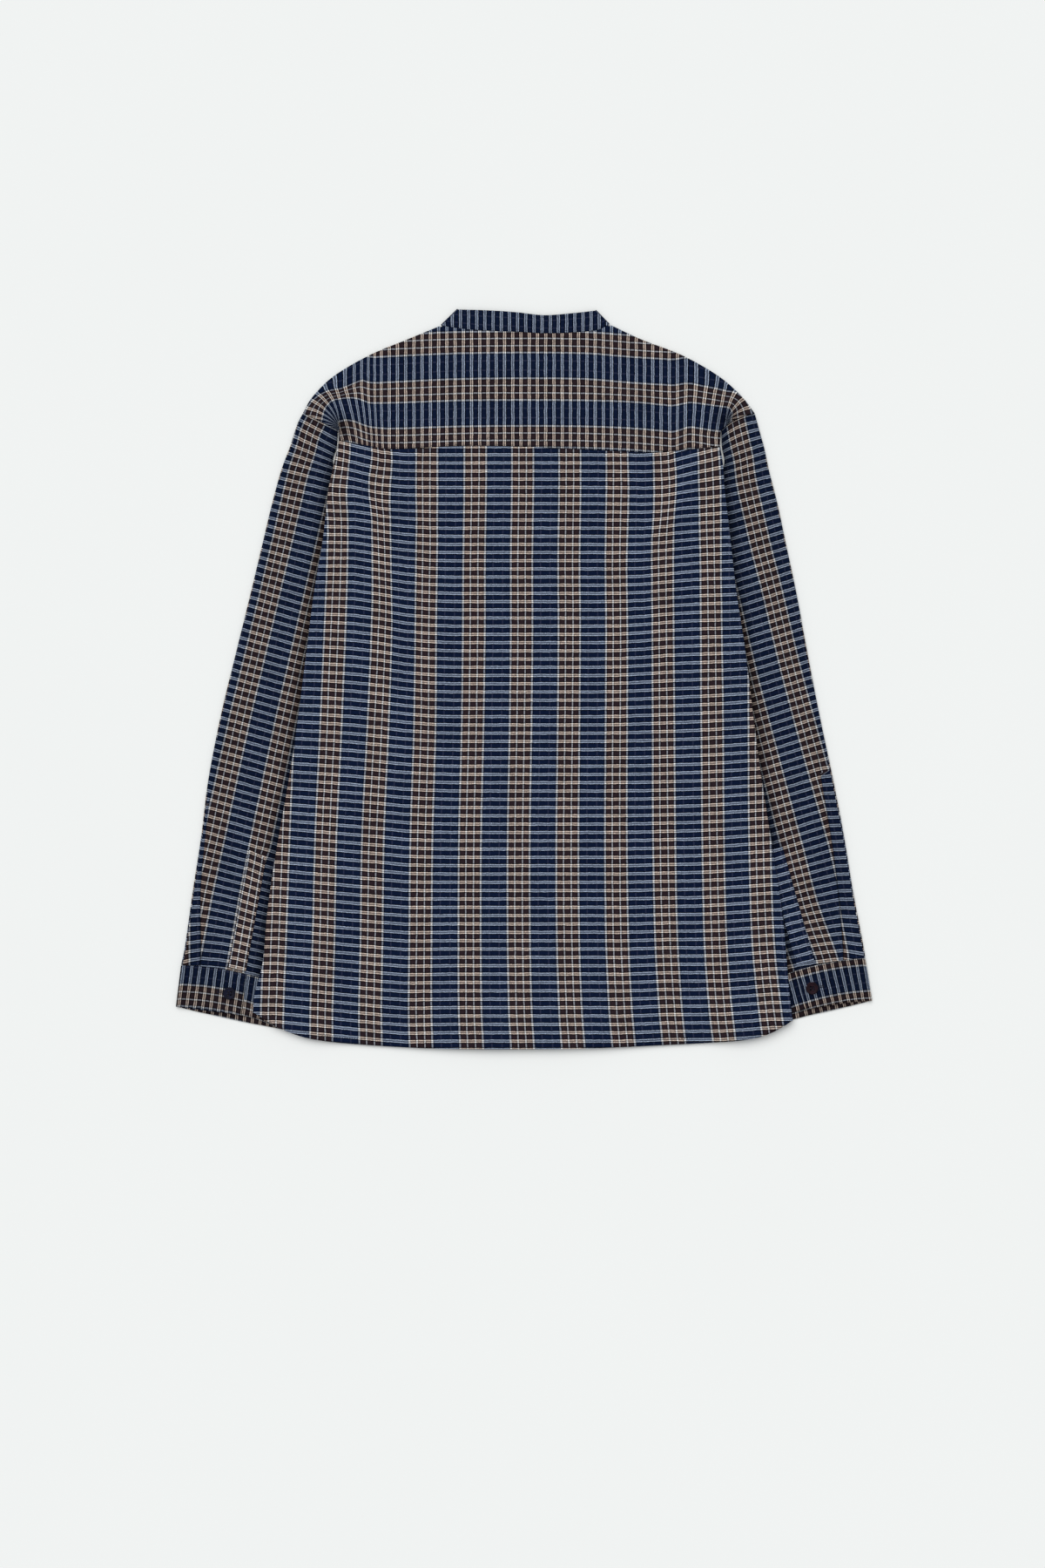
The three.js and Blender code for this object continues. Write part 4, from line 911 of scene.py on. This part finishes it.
def cloth_piece(name, node, points, lines, wraps=False, keep=None, thickness=SHELL, shade=0.0):
    """A thin shell over a grid of points.

    lines holds each point's place in the cloth, and shade how much its colour is darkened there by
    painted shade.
    """
    rows, columns = points.shape[:2]
    index = np.arange(rows * columns).reshape(rows, columns)
    if wraps:
        index = np.concatenate([index, index[:, :1]], axis=1)
    faces = cell_corners(index)
    shades = np.broadcast_to(shade, lines.shape[:2])
    place, painted_shade_corners = cell_corners(lines), cell_corners(pair(shades, 0.0))
    chosen = np.ones(faces.shape[:2], bool) if keep is None else keep
    used, compact = np.unique(faces[chosen], return_inverse=True)
    vertices = points.reshape(-1, 3)[used] * MM
    faces = compact.reshape(-1, 4)
    piece = mesh_object(name, vertices, faces, PLAID, place[chosen], painted_shade_corners[chosen])
    modifier = piece.modifiers.new("cloth", "SOLIDIFY")
    modifier.thickness = thickness * MM
    modifier.offset = 0.0
    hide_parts(node)
    return piece


def side_roll(side, plan, lines, layer, way=1):
    """A body panel's rounded edge, outwards from its upper face, or its lower where way is -1."""
    outward = np.tile([float(SIGN[side]), 0.0], (len(plan), 1))
    lift = body_lift(plan[:, 0], plan[:, 1], layer)
    points = [fold_point(plan, outward, way * angle, lift) for angle in ROLL_TURNS]
    return points, [lines + pair(SIGN[side] * place, 0) for place in ROLL_PLACES]


def make_back():
    across, down = steps(170), row_shares(176)
    top_x = lerp(YOKE_SEAM["x"][0] + FOLD_REACH, YOKE_SEAM["x"][-1] - FOLD_REACH, across)
    bottom_x = lerp(HEM["x"][0] + FOLD_REACH, HEM["x"][-1] - FOLD_REACH, across)
    top = pair(top_x, follow(YOKE_SEAM, "x", "y", top_x) - SEAM_GAP)
    bottom = pair(bottom_x, follow(HEM, "x", "y", bottom_x))
    left, right = (body_edge(side, side_rows(side, down)) for side in SIGN)
    plan = fill_patch(top, bottom, left, right, across, down)
    x, y = plan[..., 0], plan[..., 1]
    height, shift = fold_shape(x, y)
    points = raised(plan, UPPER + body_lift(x, y, BACK_LIFT) + rise_back(x, y) + height)
    lines = back_lines(x, y) + shift
    rolls = [
        side_roll(side, plan[:, edge], lines[:, edge], BACK_LIFT)
        for side, edge in (("left", 0), ("right", -1))
    ]
    whole = [
        np.stack([*rolls[0][k][::-1], *np.moveaxis(grid, 1, 0), *rolls[1][k]], axis=1)
        for k, grid in enumerate((points, lines))
    ]
    piece = cloth_piece("back_cloth", "back", *whole)


def make_front(side):
    sign = SIGN[side]
    centre = -PLACKET_HALF - SEAM_GAP if side == "left" else -FRONT_OVERLAP
    rows = np.linspace(0, 5, 31)
    table = SHOULDER[side]
    seam, fold = row_points(table, "seam", rows), row_points(table, "fold", rows)
    seam = seam + unit(seam - fold) * SEAM_GAP / 2
    start = body_edge(side, np.array(table["seam_y"][0] - 2.0))
    seam = seam + (start - seam[0]) * (1 - ramp(rows, 0, 0.8))[:, None]
    angles = np.linspace(0, front_edge_angle(side), 31)[1:]
    edge = np.concatenate([seam, neckline(side, angles)])
    across = (edge[:, 0] - edge[0, 0]) / (edge[-1, 0] - edge[0, 0])
    down = row_shares(80)
    outer = body_edge(side, side_rows(side, down))
    top_x = lerp(outer[0, 0], centre, across)
    top = pair(top_x, follow(YOKE_SEAM, "x", "y", top_x) - SEAM_GAP)
    hem_x = lerp(HEM["x"][0 if side == "left" else -1] - sign * FOLD_REACH, centre, across)
    bottom = pair(hem_x, front_hem_y(hem_x))
    inner = pair(np.full(len(down), centre), lerp(top[-1, 1], float(front_hem_y(centre)), down))
    lower = fill_patch(top, bottom, outer, inner, across, down)
    upper = lerp(edge[None], top[None], steps(14)[:-1, None, None])
    plan = np.concatenate([upper, lower])
    x, y = plan[..., 0], plan[..., 1]
    points = raised(plan, LOWER + body_lift(x, y, FRONT_LIFT) + front_rise(side, x))
    lines = front_lines(x, y)
    roll = side_roll(side, plan[:, 0], lines[:, 0], FRONT_LIFT, -1)
    whole = [
        np.stack([*roll[k][::-1], *np.moveaxis(grid, 1, 0)], axis=1)
        for k, grid in enumerate((points, lines))
    ]
    piece = cloth_piece(f"front_{side}_cloth", f"front_{side}", *whole)


def make_front_placket():
    x = np.linspace(-PLACKET_HALF, PLACKET_HALF, 17)[None, :]
    half = np.where(x < 0, NECK_HALF["left"], NECK_HALF["right"])
    top = NECK_Y - NECK_DEPTH * np.sqrt(1 - (x / half) ** 2)
    y = lerp(top, front_hem_y(x), steps(120)[:, None])
    points = raised(pair(x, y), LOWER + RISE_LEFT)
    lines = front_lines(x, y) + np.array(PLACKET_SHIFT)
    piece = cloth_piece("front_placket_cloth", "front_placket", points, lines)


def make_yoke():
    down = steps(64)
    rows = np.linspace(0, 5, 41)
    shoulders = []
    for side in SIGN:
        fold, seam = (row_points(SHOULDER[side], name, rows) for name in ("fold", "seam"))
        outward = unit(fold - seam)
        flat = fold - outward * FOLD_REACH
        first = section_point(side, np.array([0.0]), np.array([FOLD_REACH]))[0]
        flat = flat + (first - flat[0]) * (1 - ramp(rows, 0, 0.5))[:, None]
        shoulders.append((flat, outward, seam + outward * SEAM_GAP / 2))
    neck_x = np.linspace(*NECK_FLAT, 58)
    neck = pair(neck_x, follow(NECK_SEAM, "x", "y", neck_x) - SEAM_GAP)
    middle = (neck, np.tile([0.0, 1.0], (len(neck_x), 1)), neck)
    flat, outward, end = (
        np.concatenate([left, centre, right[::-1]])
        for left, centre, right in zip(shoulders[0], middle, shoulders[1])
    )
    across = (flat[:, 0] - flat[0, 0]) / (flat[-1, 0] - flat[0, 0])
    seam_x = lerp(YOKE_SEAM["x"][0] + SEAM_GAP, YOKE_SEAM["x"][-1] - SEAM_GAP, across)
    seam = pair(seam_x, follow(YOKE_SEAM, "x", "y", seam_x) + SEAM_GAP)
    sides = []
    for side, corner in (("left", seam[0]), ("right", seam[-1])):
        outer, inner = (row_points(SLEEVE[side], name, 0) for name in ("outer", "inner"))
        width = np.linalg.norm(inner - outer)
        share = np.clip((1 - down) / (1 - YOKE_CORNER), 0, 1)
        along = section_point(side, np.zeros(len(down)), lerp(FOLD_REACH, width + ARMHOLE_GAP, share))
        sides.append(lerp(along, corner, np.clip(1 - down / YOKE_CORNER, 0, 1)[:, None]))
    plan = fill_patch(seam, flat, *sides, across, down)
    x, y = plan[..., 0], plan[..., 1]
    height, shift = fold_shape(x, y)
    points = raised(plan, UPPER + rise_back(x, y) + height)
    lines = yoke_lines(x, y) + shift[..., ::-1]
    top, top_lines = points[-1], lines[-1]
    extra = fold_points(top, outward)
    extra_lines = [top_lines + pair((90 - angle) / RADIAN * FOLD_RADIUS, 0) for angle in FOLD_TURNS]
    for share in steps(12):
        place = lerp(top[:, :2], end, share)
        reach = np.linalg.norm(place - top[:, :2], axis=-1)
        extra.append(raised(place, LOWER))
        extra_lines.append(top_lines + pair(YOKE_FOLD_ROUND + reach, 0))
    points = np.concatenate([points, np.array(extra)])
    lines = np.concatenate([lines, np.array(extra_lines)])
    keep = np.ones((points.shape[0] - 1, points.shape[1] - 1), bool)
    keep[len(down) - 1:, len(rows) - 1:len(flat) - len(rows)] = False
    # Painted shade over the whole yoke, and a painted shadow round each shoulder's pivot
    shade = YOKE_SHADE
    for fan in FAN.values():
        reach = np.hypot(points[..., 0] - fan["pivot"][0], points[..., 1] - fan["pivot"][1])
        shade = shade + ARMHOLE_SHADE * np.exp(-((reach / ARMHOLE_REACH) ** 2))
    piece = cloth_piece("yoke_cloth", "yoke", points, lines, keep=keep, shade=shade)


def make_collar():
    heights = steps(14)

    def back_at(place):
        for table in (NECK_SEAM, COLLAR_TOP):
            x = lerp(table["x"][0], table["x"][-1], place)
            yield pair(x, follow(table, "x", "y", x))

    def columns_between(seam, top, z):
        return raised(lerp(seam[:, None], top[:, None], heights[None, :, None]), z)

    def front_half(side, end):
        """The part that lies below, from the centre to the fold, and its places along the cloth."""
        angles = np.linspace(0, COLLAR_END_ANGLE, 60)
        turn = np.radians(angles)
        top_x = SIGN[side] * COLLAR_TOP_HALF[side] * np.cos(turn)
        top_y = COLLAR_TOP_Y - COLLAR_TOP_DEPTH * np.sin(turn)
        edges = (neckline(side, angles, SEAM_GAP), pair(top_x, top_y))
        ends = tuple(back_at(np.array([end])))
        seam, top = (
            np.concatenate([lerp(start, edge[:1], steps(6)[:-1, None]), edge])
            for start, edge in zip(ends, edges)
        )
        plan = columns_between(seam, top, 0.0)
        x = plan[..., 0]
        plan[..., 2] = LOWER + front_rise(side, x) * (np.abs(x) < COLLAR_CLIMB_HALF)
        roll = fold_points(columns_between(*ends, 0.0)[0], np.array(COLLAR_OUTWARD[side]), -1)
        reach = FOLD_ROUND + arc_length(lerp(seam, top, 0.5))
        along = COLLAR_FOLD_X[side] + SIGN[side] * np.r_[reach[::-1], 2.4, 1.9, 1.4, 0.9, 0.4]
        return np.array([*plan[::-1], *roll]), np.tile(along[:, None], (1, len(heights)))

    left, left_x = front_half("left", COLLAR_FOLD_SHARE)
    right, right_x = front_half("right", 1 - COLLAR_FOLD_SHARE)
    places = np.clip(steps(80), COLLAR_FOLD_SHARE, 1 - COLLAR_FOLD_SHARE)
    back = columns_between(*back_at(places), UPPER)
    points = np.concatenate([left, back, right[::-1]])
    x = np.concatenate([left_x, back[..., 0], right_x[::-1]])
    along = (x - COLLAR_PAIRS["start"]) * PAIR / COLLAR_PAIRS["apart"]
    lines = pair(COLLAR_BANDS["start"] + COLLAR_BANDS["across"] * heights, along)
    # Painted shade over the whole collar
    piece = cloth_piece("collar_cloth", "collar", points, lines, shade=COLLAR_SHADE)


def make_sleeve(side):
    table, rules = SLEEVE[side], SLEEVE_LINES[side]
    index = np.linspace(0, len(table["fold"]) - 1, 170)
    outer, inner = row_points(table, "outer", index), row_points(table, "inner", index)
    width = np.linalg.norm(inner - outer, axis=-1)
    run = unit(inner - outer)
    far = width - FOLD_REACH
    fold = np.clip(rows_of(table, "fold", index), STRIP_LEAST, None)
    ledge = np.clip(rows_of(table, "ledge", index), 0, 1)
    along = -arc_length(section_point(side, index, np.minimum(fold + 20, width * 0.4)))
    first, apart = (follow(rules, "row", name, index) for name in ("first", "apart"))
    lean = follow(SLEEVE_LEAN, "row", side, index)
    columns, lines = [], []

    def level_at(distance):
        return along + lean * (distance - LEAN_FROM)

    def cloth_at(reach, distance, shift=0.0):
        """The cloth's lines at a reach round the tube and a distance along the section."""
        return pair((reach - first) / apart * WARP + shift, level_at(distance))

    def add(distance, z, cloth):
        columns.append(raised(section_point(side, index, distance), z))
        lines.append(cloth)

    def upper_line(distance):
        shift = 0.0
        if side in SLIT:
            slit = SLIT[side]
            past = distance - np.interp(index, slit["row"], slit["distance"])
            shift = slit["jump"] * ramp(past, 0, slit["soft"]) * ramp(index, *slit["starts"])
        return cloth_at(distance, distance, shift)

    def strip_line(distance):
        if side == "left":
            u = section_point(side, index, distance)[:, 0] - STRIP_BORDER[side] + BORDER
        else:
            u = distance - STRIP_BORDER[side] - BORDER
        regular, level = np.moveaxis(cloth_at(distance, distance), -1, 0)
        open_pleat = ramp(ledge, *PLEAT_OPENS)
        leaning = along - STRIP_LEVEL * (distance - fold)
        return pair(np.where(open_pleat > 0.5, u, regular), lerp(level, leaning, open_pleat))

    for share in steps(7):
        distance = lerp(FOLD_REACH, fold, share)
        add(distance, UPPER, strip_line(distance))
    for past, height in ((0.04, 0.2), (0.25, 0.7)):
        add(fold + past, UPPER + height * ledge, upper_line(fold + past))
    for share in steps(52) ** 1.15:
        distance = lerp(fold + 1.0, far, share)
        fade = np.clip(1 - (distance - fold - 1) / LEDGE_FADE, 0, None)
        add(distance, UPPER + ledge * fade, upper_line(distance))
    columns += fold_points(section_point(side, index, far), run)
    rounds = [(90 - angle) / RADIAN * FOLD_RADIUS for angle in FOLD_TURNS]
    lines += [cloth_at(far + past, far) for past in rounds]
    under = 2 * far + FOLD_ROUND
    for share in steps(26):
        distance = lerp(far, FOLD_REACH, share)
        add(distance, LOWER, cloth_at(under - distance, distance))
    near = section_point(side, index, np.full(len(index), FOLD_REACH))
    columns += fold_points(near, -run, -1)
    lines += [cloth_at(under + past, FOLD_REACH) for past in rounds]
    lines.append(lines[-1] + pair(0.5, 0))
    points = np.stack(columns, axis=1)
    down = np.stack([run[:, 1], -run[:, 0]], axis=-1) * SIGN[side]
    for row, distance in ((0, -ARMHOLE_GAP), (-1, SEAM_GAP / 2)):
        points[row, :, :2] += down[row] * distance
    # Painted shade over the whole sleeve, and a painted shadow on it beside the body's edge
    edge = np.abs(follow(BODY_EDGES, "y", side, points[..., 1]))
    outside = np.clip(np.abs(points[..., 0]) - edge, 0, None)
    shade = SLEEVE_SHADE + PAINTED_SHADOW * np.exp(-((outside / PAINTED_SHADOW_REACH) ** 2))
    shade = np.concatenate([shade, shade[:, :1]], axis=1)
    cloth = np.stack(lines, axis=1)
    piece = cloth_piece(f"sleeve_{side}_cloth", f"sleeve_{side}", points, cloth, wraps=True, shade=shade)


def cuff_rib(side, place, layer):
    """Plan points down a cuff, at a place counted in ribs from its outer fold."""
    table, last = CUFF[side], len(SLEEVE[side]["fold"]) - 1.0
    outer, inner = (row_points(SLEEVE[side], name, last) for name in ("outer", "inner"))
    run = unit(inner - outer)
    ribs = np.arange(len(table["along"]))
    along = np.interp(place, ribs, table["along"]) * np.linalg.norm(inner - outer)
    top = section_point(side, np.full(len(place), last), along)
    top = top - np.array([run[1], -run[0]]) * SIGN[side] * SEAM_GAP / 2
    bottom = pair(*(np.interp(place, ribs, table[f"{layer}_{axis}"]) for axis in "xy"))
    return lerp(top[:, None], bottom[:, None], steps(16)[None, :, None]), along


def make_cuff(side):
    overlap = np.linspace(OVERLAP_END, CUFF_FLAT[0], 48)
    upper, upper_along = cuff_rib(side, overlap, "upper")
    lower, lower_along = cuff_rib(side, np.linspace(*CUFF_FLAT, 40), "lower")
    under, under_along = cuff_rib(side, np.linspace(CUFF_FLAT[1], UNDERLAP_END, 40), "upper")
    (outer, inner), _ = cuff_rib(side, np.array([0.0, 5.0]), "upper")
    outward = unit(outer - inner)
    outer, inner = outer - outward * FOLD_REACH, inner + outward * FOLD_REACH
    step = UPPER + (WALL + SEAM_GAP) * ramp(overlap, *OVERLAP_STEP)
    width = lower_along[-1] + 1.0
    columns = [
        *(raised(row, z) for row, z in zip(upper, step)),
        raised(outer, UPPER), *fold_points(outer, outward), raised(outer, LOWER),
        *raised(lower, LOWER),
        raised(inner, LOWER), *fold_points(inner, -outward, -1), raised(inner, UPPER),
        *raised(under, UPPER),
    ]
    places = np.r_[
        -upper_along,
        -FOLD_REACH, [(90 - turn) / RADIAN * FOLD_RADIUS - FOLD_REACH for turn in FOLD_TURNS], FOLD_REACH,
        lower_along,
        width + 0.5, [width + 2.0 - turn / RADIAN for turn in FOLD_TURNS], width + 3.5,
        width + 4.0 + (under_along[0] - under_along),
    ][:, None]
    points = np.array(columns)
    length = np.linalg.norm(points[:, -1, :2] - points[:, 0, :2], axis=-1)[:, None] * steps(16)
    cloth = CUFF_CLOTH[side]
    u = cloth["start"] + length - cloth["turn"] * ramp(places, -2, 12)
    v = (places + cloth["pairs_from"]) * PAIR / CUFF_PAIRS_APART
    # Painted shade over the whole cuff
    piece = cloth_piece(f"cuff_{side}_cloth", f"cuff_{side}", points, pair(u, v), shade=CUFF_SHADE)


def strip_edges(side, share):
    """The long edges of a sleeve's strip."""
    table = SLEEVE_PLACKET[side]
    for edge in SIGN:
        yield pair(lerp(*table[f"{edge}_x"], share), lerp(*table[f"{edge}_y"], share))


def make_sleeve_placket(side):
    across = steps(14)
    left, right = strip_edges(side, steps(70))
    points = raised(lerp(left[:, None], right[:, None], across[None, :, None]), STRIP_Z)
    start_u, start_v = STRIP_START[side]
    u = start_u + np.linalg.norm(right - left, axis=-1)[:, None] * across
    v = start_v - np.linalg.norm(left - left[0], axis=-1)[:, None]
    name = f"sleeve_placket_{side}"
    piece = cloth_piece(f"{name}_cloth", name, points, pair(u, v), thickness=0.8)


def ring_faces(rings, sides):
    """The faces round a tube of rings, and its two ends."""
    index = np.arange(rings * sides).reshape(rings, sides)
    after = np.roll(index, -1, axis=1)
    faces = np.stack([index[:-1], after[:-1], after[1:], index[1:]], axis=-1).reshape(-1, 4).tolist()
    return [*faces, index[0][::-1].tolist(), index[-1].tolist()]


def tube(points, radius, sides=6):
    """Vertices and faces of a thin closed tube along a few points."""
    points = np.asarray(points, float)
    tangent = unit(np.gradient(points, axis=0))
    side = unit(np.cross(tangent, np.broadcast_to([0.0, 0.0, 1.0], tangent.shape)) + 1e-9)
    up = np.cross(side, tangent)
    turn = np.linspace(0, 2 * math.pi, sides, endpoint=False)[None, :, None]
    taper = np.ones(len(points))
    taper[[0, -1]] = 0.55
    ring = np.cos(turn) * side[:, None] + np.sin(turn) * up[:, None]
    vertices = points[:, None] + ring * (radius * taper)[:, None, None]
    return vertices.reshape(-1, 3), ring_faces(len(points), sides)


def make_stitches(name, rows, pitch=2.6, share=0.68, radius=0.17):
    """Stitches along rows of points that lie on the cloth's face."""
    stitches = []
    for row in rows:
        length = arc_length(row)
        for start in np.arange(0.4, length[-1] - pitch * share, pitch):
            places = start + steps(4) * pitch * share
            points = np.stack([np.interp(places, length, row[:, k]) for k in range(3)], axis=-1)
            points[:, 2] += np.array([-0.12, 0.06, 0.1, 0.06, -0.12])
            stitches.append(tube(points, radius, 5))
    piece = mesh_object(name, *joined(stitches), THREAD)


def back_height(x, y):
    height, _ = fold_shape(x, y)
    return UPPER + body_lift(x, y, BACK_LIFT) + rise_back(x, y) + height


def seam_rows():
    """Rows of stitching: above the yoke seam, along the hem, and round collar, cuffs and strips."""
    face = SHELL / 2
    rows = []
    for table, start, end, count, offset in (
        (YOKE_SEAM, -192, 203, 140, 1.8),
        (YOKE_SEAM, -192, 203, 140, 7.5),
        (HEM, -276, 274, 190, 7.0),
        (NECK_SEAM, -84, 86, 60, 2.2),
        (COLLAR_TOP, -69, 75, 60, -2.4),
    ):
        x = np.linspace(start, end, count)
        y = follow(table, "x", "y", x) + offset
        height = UPPER if table in (NECK_SEAM, COLLAR_TOP) else back_height(x, y)
        rows.append(raised(pair(x, y), height + face))
    for side in SIGN:
        places = np.linspace(OVERLAP_END - 0.1, 0.15, 50)
        ribs, _ = cuff_rib(side, places, "upper")
        z = UPPER + (WALL + SEAM_GAP) * ramp(places, *OVERLAP_STEP) + face
        rows += [raised(lerp(ribs[:, 0], ribs[:, -1], share), z) for share in (0.045, 0.945)]
        end = lerp(ribs[0, 0], ribs[0, -1], np.linspace(0.05, 0.94, 12)[:, None])
        rows.append(raised(end, z[0]))
        left, right = strip_edges(side, np.linspace(0.02, 0.98, 40))
        across = np.linspace(0.1, 0.9, 8)[:, None]
        strip_rows = [lerp(left, right, share) for share in (0.09, 0.91)]
        strip_rows += [lerp(left[k], right[k], across) for k in (0, 5)]
        rows += [raised(row, STRIP_Z + 0.4) for row in strip_rows]
    return rows


def lathe(profile, sides):
    turn = np.linspace(0, 2 * math.pi, sides, endpoint=False)
    vertices = [(r * math.cos(a), r * math.sin(a), height) for r, height in profile for a in turn]
    return np.array(vertices), ring_faces(len(profile), sides)


HOLE_RADIUS = 0.95
HOLE_OFFSET = 1.45
# The thread through a pair of holes: its course, in hole offsets and in height, the second
# turn's lift, and its thickness
BUTTON_THREAD = dict(
    along=[-1, -0.95, -0.5, 0, 0.5, 0.95, 1],
    height=[0.6, 1.75, 2.02, 2.1, 2.02, 1.75, 0.6],
    lifts=(0.0, 0.22),
    radius=0.24,
)
BUTTONHOLE = dict(from_button=4.6, half=7.6, bar=7.5, inner=0.25, outer=1.25, above=0.08, radius=0.22)


def button_mesh():
    """A four-hole button: a dished face in a rounded rim, its back at z = 0."""
    profile = [
        (5.4, 0.0), (6.0, 0.15), (6.35, 0.5), (6.5, 1.0), (6.5, 1.5), (6.38, 1.95), (6.1, 2.25),
        (5.7, BUTTON_HEIGHT), (5.2, 2.36), (4.8, 2.18), (4.45, 1.92), (4.1, 1.82), (3.2, 1.8),
        (2.6, 1.8),
    ]
    hole_profile = [(HOLE_RADIUS, -1.0), (HOLE_RADIUS, 1.55), (HOLE_RADIUS + 0.3, 2.2)]
    hole, hole_faces = lathe(hole_profile, 16)
    centres = [np.array([x, y, 0.0]) * HOLE_OFFSET for x, y in ((1, 1), (-1, 1), (-1, -1), (1, -1))]
    disc = mesh_object("button_disc", *joined([lathe(profile, 48)]), BUTTONS["button_navy"])
    holes = joined([(hole + centre, hole_faces) for centre in centres])
    cutter = mesh_object("button_cutter", *holes, BUTTONS["button_navy"])
    cut = disc.modifiers.new("holes", "BOOLEAN")
    cut.object = cutter
    cut.operation = "DIFFERENCE"
    cut.solver = "EXACT"
    bpy.context.view_layer.update()
    shape = bpy.data.meshes.new_from_object(disc.evaluated_get(bpy.context.evaluated_depsgraph_get()))
    shape.name = "button"
    for piece in (disc, cutter):
        bpy.data.objects.remove(piece)
    return shape


def make_button(name, node, place, slot, down=False):
    mesh = BUTTON_SHAPE.copy()
    mesh.materials.clear()
    mesh.materials.append(BUTTONS[slot])
    mesh.polygons.foreach_set("material_index", [0] * len(mesh.polygons))
    turned = np.array([1, -1, -1] if down else [1, 1, 1])
    bottom = np.array([*place[:2], place[2] + (BUTTON_HEIGHT if down else 0)])
    coordinates = np.empty(len(mesh.vertices) * 3)
    mesh.vertices.foreach_get("co", coordinates)
    coordinates = coordinates.reshape(-1, 3) * turned + bottom * MM
    mesh.vertices.foreach_set("co", coordinates.ravel())
    mesh.update()
    piece = bpy.data.objects.new(name, mesh)
    bpy.context.scene.collection.objects.link(piece)
    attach(piece, "root")
    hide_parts(node)
    threads = []
    for side in (-1, 1):
        for lift in BUTTON_THREAD["lifts"]:
            y = np.array(BUTTON_THREAD["along"]) * HOLE_OFFSET
            z = np.array(BUTTON_THREAD["height"]) + lift * 0.4
            x = np.full(len(y), side * HOLE_OFFSET + lift * 0.8 - 0.1)
            course = np.stack([x, y, z], axis=-1) * turned + bottom
            threads.append(tube(course, BUTTON_THREAD["radius"]))
    thread = mesh_object(f"{name}_thread", *joined(threads), THREAD)


def make_buttonhole(side):
    """A stitched slot in the cuff's overlap, under its button."""
    hole = BUTTONHOLE
    ribs, _ = cuff_rib(side, np.array([0.8, 2.6]), "upper")
    run = unit(ribs[0, 8] - ribs[1, 8])
    across = np.array([-run[1], run[0]])
    z = UPPER + WALL + SEAM_GAP + SHELL / 2 + hole["above"]
    centre = np.array(CUFF_BUTTON[side]) + run * hole["from_button"]
    ends = []
    for sign in (-1, 1):
        for t in np.linspace(-hole["half"], hole["half"], 34):
            near = centre + run * t + across * sign * hole["inner"]
            ends.append((near, centre + run * (t + 0.1) + across * sign * hole["outer"]))
    for sign in (-1, 1):
        for k in np.linspace(-1.1, 1.1, 6):
            near = centre + run * sign * hole["bar"] + across * k
            ends.append((near, near + run * sign * 0.9))
    rows = [raised(np.array([near, lerp(near, far, 0.5), far]), z) for near, far in ends]
    stitches = joined([tube(row, hole["radius"], 5) for row in rows])
    piece = mesh_object(f"buttonhole_{side}", *stitches, THREAD)


def make_floor():
    n = Nodes("pale_floor")
    pale = n.mix(n.grain(3.0, 2.0), (0.875, 0.895, 0.885, 1.0), (0.885, 0.905, 0.895, 1.0))
    n.set(Base_Color=pale, Roughness=0.95, Specular_IOR_Level=0.0)
    mesh = bpy.data.meshes.new("floor")
    signs = ((-1, -1), (1, -1), (1, 1), (-1, 1))
    corners = [(x * FLOOR["half"], y * FLOOR["half"], FLOOR["z"]) for x, y in signs]
    mesh.from_pydata(corners, [], [[0, 1, 2, 3]])
    mesh.materials.append(n.material)
    floor = bpy.data.objects.new("floor", mesh)
    bpy.context.scene.collection.objects.link(floor)


# The scene

make_camera()
make_light()
make_floor()
PLAID = plaid_material("yarn_dyed_plaid")
THREAD = object_material("sewing_thread", rgb(24, 28, 48), rgb(16, 19, 34), 900, 0.75, 0.3, 0.4)
BUTTONS = {
    "button_navy": object_material("button_navy", rgb(18, 20, 42), rgb(9, 10, 24), 260, 0.5, 0.12, 0.05),
    "button_wine": object_material("button_wine", rgb(36, 14, 24), rgb(15, 7, 12), 220, 0.5, 0.12, 0.05),
}

make_back()
make_yoke()
make_collar()
make_front_placket()
for side in SIGN:
    make_front(side)
    make_sleeve(side)
    make_cuff(side)
    make_sleeve_placket(side)
    make_buttonhole(side)
make_stitches("topstitching", seam_rows())

BUTTON_SHAPE = button_mesh()
for side, slot in (("left", "button_navy"), ("right", "button_wine")):
    place = (*CUFF_BUTTON[side], CUFF_BUTTON_Z)
    make_button(f"button_cuff_{side}", f"cuff_button_{side}", place, slot)
make_button("button_collar", "collar_button", (0, COLLAR_BUTTON_Y, 0), "button_wine", down=True)
for k, y in enumerate(FRONT_BUTTONS, start=1):
    make_button(f"button_front_{k}", f"front_button_{k}", (0, y, 0), "button_wine", down=True)
